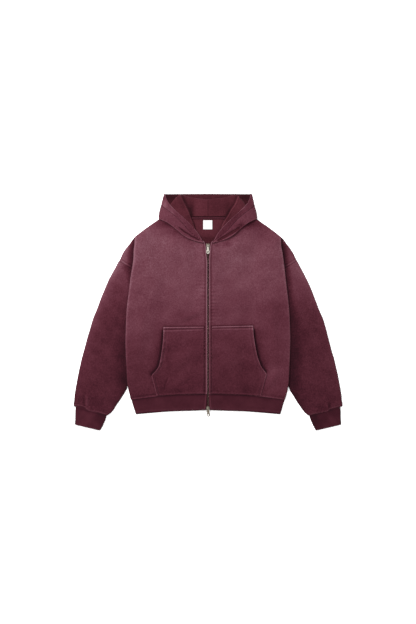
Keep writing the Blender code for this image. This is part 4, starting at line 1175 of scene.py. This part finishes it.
def make_sleeve(name, side):
    """One sleeve, with long soft creases, the gathers above its cuff and painted shade beside the torso."""
    cloth = Cloth("sleeve_" + name, SLEEVE_STEPS, FLEECE)
    cloth.reach_out("first", 1.0, 10.0)
    cloth.reach_out("last", 2.5, 20.0)
    steer(cloth, "last", SLEEVE_ENDS[name], 1, 34.0)
    nudge(cloth, SLEEVE_SHIFTS[name])
    down, plan, seam = cloth.from_last, cloth.plan, cloth.from_first
    form = creases(plan, SLEEVE_CREASES[name]) + 0.5 * uneven(plan, 70.0, 40 + side)
    clear = smoothstep(seam / 14.0) * smoothstep(down / 5.0)
    rolled = 0.9 * (1 - smoothstep(down / 7.0))
    cloth.raised = cloth.upward * (form * clear + ridge(down, 10.0, 9.0, 2.0)) - rolled
    gathers = puckers(down, cloth.from_left, 13.0, 20.0, 0.9, 44 + side)
    cloth.relief = edged(cloth, WELTS) + gathers * smoothstep(down / 6.0)
    heights, *columns = zip(*SLEEVE_SHADES[name])
    floor, width, base, outer_fold_lighter = (np.interp(plan[..., 1], heights, column) for column in columns)
    fold = np.abs(cloth.from_left - cloth.from_left[:, -1:] / 2)
    # Painted shade beside the torso, painted highlight and shade on the creases, a lighter outer fold, the
    # seams' wear and painted shade, random tone, and dark seam lines
    cloth.wash = (
        shaded(cloth, floor, width, base) + blobs(plan, SLEEVE_PATCHES[name]) * cloth.upward
        + outer_fold_lighter * np.exp(-fold / OUTER_FOLD[name]) + edged(cloth, EDGE_WEAR_AND_PAINTED_SHADING) + 0.05 * uneven(plan, 60.0, 46 + side)
        - 0.25 * (np.exp(-down / 1.6) + np.exp(-seam / 1.8)))
    return cloth


# Shifts of the cuffs' outline, for the left half, how faded each cuff is, and the patches, for the left half:
# painted shade on the side towards the torso and a painted highlight on the outer side
CUFF_SHIFTS = [(380, -398, 26, -4.2), (392, -425, 18, -1.8), (494, -400, 26, -1.2)]
CUFF_WASH = {"left": 0.25, "right": 0.36}
CUFF_PATCHES = [(392, -400, 22, 60, -0.16), (460, -405, 26, 30, 0.10)]


def make_cuff(name, side):
    """One ribbed cuff, its upper end inside the sleeve."""
    cloth = Cloth("cuff_" + name, RIB_STEPS, RIB)
    cloth.reach_out("first", 8.0, 22.0)
    cloth.reach_out("last", 1.0, 14.0)
    tuck(cloth, 0.5, 22.0)
    nudge(cloth, [(side * x, y, radius, side * aside) for x, y, radius, aside in CUFF_SHIFTS])
    cloth.relief = rib_relief(cloth) + edged(cloth, WELTS)
    # Painted shadow where the cuff goes into the sleeve, painted shade and highlight across it, a lighter
    # lower edge, and random tone
    cloth.wash = (CUFF_WASH[name] + edged(cloth, EDGE_WEAR_AND_PAINTED_SHADING) + blobs(cloth.plan, mirrored(CUFF_PATCHES, side))
                  + 0.05 * uneven(cloth.plan, 40.0, 50 + side))
    return cloth


# The hood's stitched line in plan, shifts that bring its outline out, and the widest its band gets
HOOD_STITCHES = [(12, 259.5), (34, 273.5), (68.6, 295), (108, 324), (144, 358), (170, 394), (186, 420)]
HOOD_BAND_LIMIT = 44.0
HOOD_SHIFTS = {"left": [(178, 385, 42, 1.0)], "right": [(-178, 385, 42, -2.8)]}

# The hood's lower edge as shown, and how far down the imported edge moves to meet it
HOOD_HEM = [(180, 340), (150, 330), (124, 314), (108, 297), (86, 281), (60, 266), (32, 257), (15, 253)]
HOOD_HEM_DROP = [(0, -7), (18, -8), (45, -10.5), (70, -13.5), (95, -14), (110, -10.5), (132, -4), (150, 0)]

# The slit between the hood's stitched band and the neck seam, its width, depth and painted shade, the painted
# shade of the band, darker on the side away from the light, and the patches of the hood, with painted shade
# along the slit, of its band, lighter on the side towards the light, and of its inner face, with painted
# shade in its hollow corners and a paler line at its top
NECK_SLIT = {
    "left": [(121, 311.5), (79, 287.5), (48, 269), (31, 261)],
    "right": [(-112, 315), (-76, 289), (-42, 270), (-26, 262)],
}
SLIT_SHAPE = {"left": (3.8, -3.8, -1.15), "right": (1.9, -2.6, -0.95)}
BAND_SHADE = {"left": 0.22, "right": 0.12}
HOOD_PATCHES = {
    "left": [(160, 360, 20, 40, -0.06), (118, 316, 26, 14, -0.20), (122, 318, 12, 7, -0.22),
             (168, 412, 10, 16, 0.25), (124, 326, 10, 10, -0.16), (88, 296, 12, 8, -0.20),
             (54, 275, 12, 6, -0.20)],
    "right": [(-165, 350, 14, 30, 0.04), (-172, 408, 8, 16, 0.22)],
}
BAND_PATCHES = {
    "left": [(140, 380, 14, 30, 0.08), (60, 290, 30, 20, -0.08), (104, 355, 20, 20, -0.10)],
    "right": [(-158, 396, 10, 20, 0.42), (-140, 366, 16, 20, 0.36), (-110, 330, 20, 16, 0.14)],
}
HOOD_INNER_PATCHES = [(140, 424, 30, 16, -0.38), (60, 436, 60, 4, 0.15)]


def make_hood(name, side):
    """One half of the hood's outer side, from the stitched band at its opening round to the centre seam."""
    cloth = Cloth("hood_" + name, HOOD_STEPS, FLEECE, HOOD_FOLD_LIMITS)
    cloth.reach_out("right", 0.5, 6.0)
    steer(cloth, "last", HOOD_HEM_DROP, 1, 34.0)
    nudge(cloth, HOOD_SHIFTS[name])
    neck, plan, up = cloth.from_last, cloth.plan, cloth.upward
    past = cloth.from_left - hood_band(cloth)[:, None]
    slit, share = to_path(plan, curve(NECK_SLIT[name]))
    # The slit's width, its depth, and the painted shade in it
    width, depth, dark = SLIT_SHAPE[name]
    slit = ridge(slit, 0.0, width, 1.0) * smoothstep(np.minimum(share, 1 - share) / 0.12) * up
    cloth.raised = 0.5 * up * uneven(plan, 55.0, 60 + side)
    cloth.relief = (edged(cloth, WELTS) + ridge(past, 0.0, 2.0, -1.1) + depth * slit
                    + ridges(neck, (4.0, 2.6, 1.1), (10.0, 2.4, 0.5)) * up)
    in_band = 1 - smoothstep((past + 1.5) / 3.0)
    # A welt at the neck seam lighter from wear and painted highlight, a dark seam line, and patches with
    # painted shade along the slit
    fade_with_painted_shade = ridge(neck, 4.0, 2.6, 0.32) - 0.4 * np.exp(-neck / 1.6) + blobs(plan, HOOD_PATCHES[name])
    # Wear at the opening, the band's painted shade and highlight, painted shade where the hood turns away
    # from facing up and in the slit, and painted shade in the ditch along the band's stitched line between
    # lighter lines
    cloth.wash = (
        0.74 + edged(cloth, EDGE_WEAR_AND_PAINTED_SHADING) + in_band * (blobs(plan, BAND_PATCHES[name]) - BAND_SHADE[name])
        - 0.2 * (1 - up) + dark * slit + up * fade_with_painted_shade
        + ridges(past, (0.0, 2.8, -0.55), (-5.5, 2.4, 0.14), (5.0, 2.4, 0.10)))
    # The inner face: painted shade in its hollow corners and a paler line at its top
    cloth.inner_fade_and_painted_shading = 0.38 + blobs(plan, mirrored(HOOD_INNER_PATCHES, side))
    return cloth


def hood_band(cloth):
    """The band's width at each row, out to the stitched line shown."""
    xs, ys = zip(*HOOD_STITCHES)
    line = np.interp(np.abs(cloth.plan[..., 0]), xs, ys)
    past = (cloth.plan[..., 1] < line) | (cloth.from_left > HOOD_BAND_LIMIT)
    widths = cloth.from_left[np.arange(len(past)), np.argmax(past, axis=1)]
    for _ in range(6):
        widths[1:-1] = (widths[:-2] + 2 * widths[1:-1] + widths[2:]) / 4
    return widths


# The edge where the hood's side lies over its middle, and the lining's paler and darker patches, the dark
# ones painted shade beside that edge and lower down
FLAP_EDGE = {
    "left": [(114, 436), (101, 400), (84.5, 375), (74, 355), (59, 332), (50, 315)],
    "right": [(-104, 436), (-87.3, 401), (-70.3, 366), (-61, 341), (-48.8, 321)],
}
LINING_PATCHES = {
    "left": [(72, 378, 14, 36, -0.22), (30, 385, 26, 40, -0.10), (112, 385, 20, 30, 0.10),
             (50, 346, 40, 8, -0.12)],
    "right": [(-62, 378, 11, 28, -0.42), (-34, 385, 22, 34, 0.20), (-90, 402, 14, 22, -0.16),
              (-110, 372, 18, 18, 0.05), (-50, 346, 40, 8, -0.12)],
}


def make_lining(name, side):
    """One half of the hood's inside that shows in the neck: its side stands over its middle."""
    cloth = Cloth("hood_lining_" + name, LINING_STEPS, FLEECE)
    cloth.reach_out("left", 0.5, 6.0)
    up, height = cloth.upward, cloth.plan[..., 1]
    line = curve(FLAP_EDGE[name])
    outside = side * (cloth.plan[..., 0] - np.interp(height, line[::-1, 1], line[::-1, 0]))
    flap = smoothstep((outside + 1.2) / 2.4)
    cloth.raised = up * (0.4 * uneven(cloth.plan, 50.0, 70 + side) + 3.0 * flap - 0.6)
    cloth.relief = edged(cloth, WELTS) + ridge(outside, 3.0, 2.5, 0.5) * up
    # Painted shadow on the middle beside the side's edge, that edge lighter from wear and painted highlight,
    # lighter where the rolled cloth turns over and still faces up, from wear and painted highlight, and a
    # lighter top edge
    cloth.wash = (
        0.50 + edged(cloth, EDGE_WEAR_AND_PAINTED_SHADING) + blobs(cloth.plan, LINING_PATCHES[name])
        + 0.45 * (1 - up) * (cloth.normals[..., 2] > 0)
        + ridges(outside, (1.6, 2.0, 0.42), (-6.0, 6.0, -0.30))
        + ridge(cloth.from_right, 1.5, 2.2, 0.6) * smoothstep((height - 380) / 15))
    return cloth


# To which share of its size the label is drawn in, and its shift in plan
LABEL_SHARE = 0.91
LABEL_SHIFT = (0.6, -1.6)


def make_flat(name, share=1.0, shift=(0.0, 0.0)):
    """A tape or label, drawn in round its middle to a share of its size. Tapes have darker long edges."""
    cloth = Cloth(name, FINE_STEPS, TAPE)
    middle = cloth.plan.reshape(-1, 2).mean(axis=0)
    cloth.points[..., :2] = middle + share * (cloth.plan - middle) + shift
    cloth.settle()
    if name != "label":
        cloth.wash = 0.35 - ridge(np.minimum(cloth.from_first, cloth.from_last), 0.0, 2.6, 0.9)
    return cloth


# ---------------------------------------------------------------- zip

# The teeth in mm: pitch, outline, and how much narrower and lower each ring of points is
TOOTH_PITCH = 2.6
TOOTH = [
    (-0.7, -0.55), (0.3, -0.8), (1.2, -0.55), (2.7, -0.75),
    (2.7, 0.75), (1.2, 0.55), (0.3, 0.8), (-0.7, 0.55)]
TOOTH_RINGS = ((0.72, 0.0), (0.95, 0.25), (1.0, 0.7), (1.0, 2.2))


def make_teeth():
    """The zip's two rows of staggered teeth along the chain's own height."""
    chain = np.array([vertex.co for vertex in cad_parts["zip_chain"].data.vertices]) / MM
    rows = np.arange(chain[:, 1].min() + 1.3, chain[:, 1].max() - 1.0, TOOTH_PITCH / 2)
    stops = np.unique(np.round(chain[:, 1], 1))
    tops = [chain[np.abs(chain[:, 1] - stop) < 0.2, 2].max() for stop in stops]
    vertices, faces = [], []
    for index, at in enumerate(rows):
        side = 1 if index % 2 else -1
        top = float(np.interp(at, stops, tops))
        start = len(vertices)
        for inset, drop in TOOTH_RINGS:
            vertices += [(side * x * inset, at + y * inset, top - drop) for x, y in TOOTH]
        for ring in (0, 8, 16):
            faces += [tuple(start + ring + part for part in (k, k + 8, (k + 1) % 8 + 8, (k + 1) % 8))[::-side]
                      for k in range(8)]
        bottom = tuple(range(start + 24, start + 32))
        faces += [tuple(range(start, start + 8))[::side], bottom[::-side]]
    made = mesh_piece("zip_teeth", vertices, faces, looks["teeth"], "zip_metal")
    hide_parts("zip_chain")


def plate(outline, holes, thickness, bevel):
    """Points and faces, in mm, of a flat plate with rounded edges, its middle at z = 0."""
    shape = bpy.data.curves.new("plate", "CURVE")
    shape.dimensions = "2D"
    shape.fill_mode = "BOTH"
    shape.extrude = thickness / 2 - bevel
    shape.bevel_depth = bevel
    shape.bevel_resolution = 2
    shape.offset = -bevel
    for loop in (outline, *holes):
        spline = shape.splines.new("POLY")
        spline.points.add(len(loop) - 1)
        for point, (x, y) in zip(spline.points, loop):
            point.co = (x, y, 0.0, 1.0)
        spline.use_cyclic_u = True
    helper = placed("plate", shape)
    bpy.context.view_layer.update()
    mesh = bpy.data.meshes.new_from_object(helper.evaluated_get(bpy.context.evaluated_depsgraph_get()))
    made = np.array([vertex.co for vertex in mesh.vertices]), [tuple(face.vertices) for face in mesh.polygons]
    bpy.data.objects.remove(helper)
    bpy.data.meshes.remove(mesh)
    return made


def rounded(rows, steps=5):
    """An outline of corners x, y and radius, with each corner turned into an arc."""
    count, points = len(rows), []
    for k, (x, y, radius) in enumerate(rows):
        here = np.array([x, y])
        before, after = (unit(np.array(rows[(k + step) % count][:2]) - here) for step in (-1, 1))
        reach = radius / math.tan(math.acos(np.clip(before @ after, -1.0, 1.0)) / 2)
        middle = here + unit(before + after) * math.hypot(reach, radius)
        start, end = here + before * reach - middle, here + after * reach - middle
        turn = math.atan2(start[0] * end[1] - start[1] * end[0], start @ end)
        for angle in np.linspace(0.0, turn, steps):
            c, s = math.cos(angle), math.sin(angle)
            points.append(tuple(middle + (c * start[0] - s * start[1], s * start[0] + c * start[1])))
    return points


def circle(x, y, radius):
    """A round outline."""
    angles = np.linspace(0.0, 2 * math.pi, CURVE_STEPS, endpoint=False)
    return [(x + radius * math.cos(angle), y + radius * math.sin(angle)) for angle in angles]


def joined(parts):
    """One mesh of several: each part is its points, its faces and its shift."""
    vertices, faces = [], []
    for points, loops, shift in parts:
        faces += [tuple(corner + len(vertices) for corner in loop) for loop in loops]
        vertices += [tuple(point) for point in np.asarray(points) + shift]
    return np.array(vertices), faces


# Outlines of the sliders and the pull tabs, as corners x, y and radius
SLIDER_PLATE = [(-5.0, -6.9, 1.6), (5.0, -6.9, 1.6), (5.4, -1.5, 3.0), (6.5, 2.5, 3.0), (6.5, 5.4, 1.8),
                (3.2, 7.0, 1.2), (0.0, 5.6, 1.2), (-3.2, 7.0, 1.2), (-6.5, 5.4, 1.8), (-6.5, 2.5, 3.0),
                (-5.4, -1.5, 3.0)]
FLANGE = [(-0.55, -6.2, 0.4), (0.55, -6.2, 0.4), (0.55, 2.0, 0.4), (-0.55, 2.0, 0.4)]
POST = [(-2.0, 2.6, 0.8), (2.0, 2.6, 0.8), (1.2, 6.0, 0.8), (-1.2, 6.0, 0.8)]
BRIDGE_BAR = [(-1.3, -0.5, 0.35), (1.3, -0.5, 0.35), (1.3, 0.5, 0.35), (-1.3, 0.5, 0.35)]
PULL_EDGE = [(-4.3, 0.7, 0.7), (4.3, 0.7, 0.7), (4.3, -17.5, 6.0), (6.2, -21.5, 3.0), (6.2, -30.9, 6.0),
             (-6.2, -30.9, 6.0), (-6.2, -21.5, 3.0), (-4.3, -17.5, 6.0)]
PULL_WINDOW = [(-2.2, -0.7, 0.4), (2.2, -0.7, 0.4), (2.2, -5.5, 0.9), (-2.2, -5.5, 0.9)]
PULL_BOSS = [(-3.2, -7.6, 1.0), (3.2, -7.6, 1.0), (3.2, -17.6, 1.4), (-3.2, -17.6, 1.4)]
# A slider's parts: outline, steps of its arcs, thickness, bevel and place. Its bridge's half length, rise,
# foot and steps. The eye of the pull tab, and how far above the slider the tab turns.
SLIDER_PARTS = [
    (SLIDER_PLATE, 5, 1.1, 0.4, (0.0, 0.0, 4.05)), (SLIDER_PLATE, 5, 0.9, 0.3, (0.0, 0.0, 0.85)),
    (FLANGE, 3, 1.3, 0.3, (4.6, 0.0, 3.2)), (FLANGE, 3, 1.3, 0.3, (-4.6, 0.0, 3.2)),
    (POST, 5, 3.2, 0.2, (0.0, 0.0, 2.4)),
]
BRIDGE = (4.1, 3.6, 4.3)
BRIDGE_STEPS = 16
EYE = (0.0, -24.5, 2.6)
TAB_RISE = (0.0, 0.0, 6.3)


def bridge():
    """The slider's bridge: a rounded bar bent over the upper plate."""
    section = rounded(BRIDGE_BAR, 3)
    size = len(section)
    reach, rise, foot = BRIDGE
    vertices = [(x, (reach + z) * math.cos(angle), foot + (rise + z) * math.sin(angle))
                for angle in np.linspace(0.0, math.pi, BRIDGE_STEPS + 1) for x, z in section]
    ends = [tuple(range(size))[::-1], tuple(BRIDGE_STEPS * size + k for k in range(size))]
    return vertices, bands(size, BRIDGE_STEPS + 1) + ends


def rotated(points, degrees, first, second):
    """The points turned by an angle, from the first axis towards the second."""
    turn = np.eye(3)
    turn[first, first] = turn[second, second] = math.cos(math.radians(degrees))
    turn[first, second] = math.sin(math.radians(degrees))
    turn[second, first] = -turn[first, second]
    return points @ turn


def make_slider(name, heading, tilt, lean, tab_look):
    """One slider and its pull tab, which turns on the slider's bridge."""
    low, high = (np.array(corner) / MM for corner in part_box("slider_" + name))
    base = np.array([(low[0] + high[0]) / 2, (low[1] + high[1]) / 2, low[2] - 0.4])
    parts = [(*plate(rounded(rows, steps), (), thickness, bevel), place)
             for rows, steps, thickness, bevel, place in SLIDER_PARTS]
    points, faces = joined([*parts, (*bridge(), (0.0, 0.0, 0.0))])
    points = points * (heading, heading, 1.0) + base
    slider = mesh_piece("slider_%s_body" % name, points, faces, looks["worn_nickel"], "nickel")
    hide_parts("slider_" + name)
    holes = (rounded(PULL_WINDOW), circle(*EYE))
    points, faces = joined([(*plate(rounded(PULL_EDGE, 9), holes, 1.4, 0.45), (0.0, 0.0, 0.0)),
                            (*plate(rounded(PULL_BOSS), (), 2.0, 0.3), (0.0, 0.0, 0.0))])
    points = rotated(rotated(points, lean, 0, 1), tilt, 1, 2) + base + TAB_RISE
    pull = mesh_piece("pull_%s_tab" % name, points, faces, looks[tab_look], "nickel", "pull_tab_" + name)
    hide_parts("pull_" + name)


# ---------------------------------------------------------------- building

# Each sheet: the looks of its outer and inner face, its slot, the cut of what shows of it, in metres (width,
# length and area), and what it lies on, the left half's
SHEETS = {
    "back_panel": ("inside", "fleece", "washed_fleece", 0.604, 0.659, 0.374, []),
    "hem_band": ("rib", "rib", "rib_knit", 1.129, 0.065, 0.0715, ["back_panel"]),
    "neck_tape": ("tape", "tape", "tape_cloth", 0.208, 0.010, 0.0020, ["back_panel"]),
    "label": ("label", "label", "label_cloth", 0.035, 0.035, 0.0012, ["back_panel"]),
    "pocket": ("fleece", "inside", "washed_fleece", 0.199, 0.268, 0.045, ["front_left"]),
    "front": ("fleece", "inside", "washed_fleece", 0.303, 0.655, 0.180, ["back_panel"]),
    "shoulder": ("fleece", "inside", "washed_fleece", 0.292, 0.160, 0.0212, ["sleeve_left"]),
    "sleeve": ("fleece", "inside", "washed_fleece", 0.390, 0.567, 0.192, ["back_panel"]),
    "cuff": ("rib", "rib", "rib_knit", 0.232, 0.075, 0.0160, ["sleeve_left"]),
    "hood": ("hood", "inside", "hood_fleece", 0.478, 0.261, 0.0502, ["front_left", "back_panel"]),
    "hood_lining": ("inside", "fleece", "inner_fleece", 0.237, 0.349, 0.0422, ["hood_left"]),
    "zip_tape": ("tape", "tape", "tape_cloth", 0.015, 0.613, 0.0091, ["back_panel"]),
}


def build_cloth():
    """All the cloth: each piece's grid, then its shell."""
    cloths = [make_back(), make_hem(), make_flat("neck_tape"), make_flat("label", LABEL_SHARE, LABEL_SHIFT)]
    for name, side in SIDES:
        pocket = make_pocket(name)
        cloths += [pocket, make_front(name, side, pocket), make_shoulder(name), make_sleeve(name, side),
                   make_cuff(name, side), make_hood(name, side), make_lining(name, side),
                   make_flat("zip_tape_" + name)]
    for cloth in cloths:
        outer, inner, slot, *cut, below = SHEETS[cloth.kind]
        below = [there.replace("left", cloth.half) for there in below]
        sew(cloth, looks[outer], looks[inner], slot, *cut, below)
    return {cloth.name: cloth for cloth in cloths}


def build_stitches(cloths):
    """All the topstitching, as one mesh."""
    seams = [lines_of(cloths["hem_band"], "last", 7.0)]
    for name, _ in SIDES:
        front, pocket, hood, sleeve, shoulder = (
            cloths[kind + "_" + name] for kind in ("front", "pocket", "hood", "sleeve", "shoulder"))
        seams += [
            lines_of(front, "left", 7.0), lines_of(front, "first", 6.0, 0.03), lines_of(pocket, "last", 7.5),
            lines_of(pocket, "right", 9.0), lines_of(hood, "left", hood_band(hood), 0.0, 0.88),
            lines_of(sleeve, "last", 5.0), lines_of(shoulder, "last", 6.5)]
    mesh_piece("stitches", *stitched(seams), looks["thread"], "tape_cloth")


def build_floor():
    """A pale floor just below the garment."""
    mesh = smooth_mesh("floor", [(x, y, FLOOR_HEIGHT) for x, y in FLOOR_CORNERS], [(0, 1, 2, 3)])
    look = Look("floor_look", Roughness=1.0, Base_Color=(0.95, 0.95, 0.95, 1.0), Specular_IOR_Level=0.0)
    mesh.materials.append(look.material)
    placed("floor", mesh)


def build_stage():
    """Soft studio light and the camera straight above."""
    world = bpy.data.worlds.new("studio")
    world.use_nodes = True
    background = world.node_tree.nodes["Background"]
    background.inputs["Color"].default_value = (1.0, 1.0, 1.0, 1.0)
    background.inputs["Strength"].default_value = WORLD_STRENGTH
    light = bpy.data.lights.new("key", "AREA")
    light.shape = "DISK"
    light.size = KEY_SIZE
    light.energy = KEY_POWER
    key = placed("key", light)
    key.location = KEY_PLACE
    key.rotation_euler = Vector(KEY_PLACE).to_track_quat("Z", "Y").to_euler()
    lens = bpy.data.cameras.new("camera")
    lens.lens = LENS
    lens.sensor_width = SENSOR
    camera = placed("camera", lens)
    camera.location = (0.0, 0.0, PICTURE_HEIGHT * MM * LENS / SENSOR)
    scene = bpy.context.scene
    scene.world = world
    scene.camera = camera
    scene.view_settings.view_transform = "Standard"


build_stitches(build_cloth())
make_teeth()
make_slider("top", 1.0, -5.0, 0.0, "nickel")
make_slider("bottom", -1.0, 5.0, 3.0, "worn_nickel")
build_floor()
build_stage()
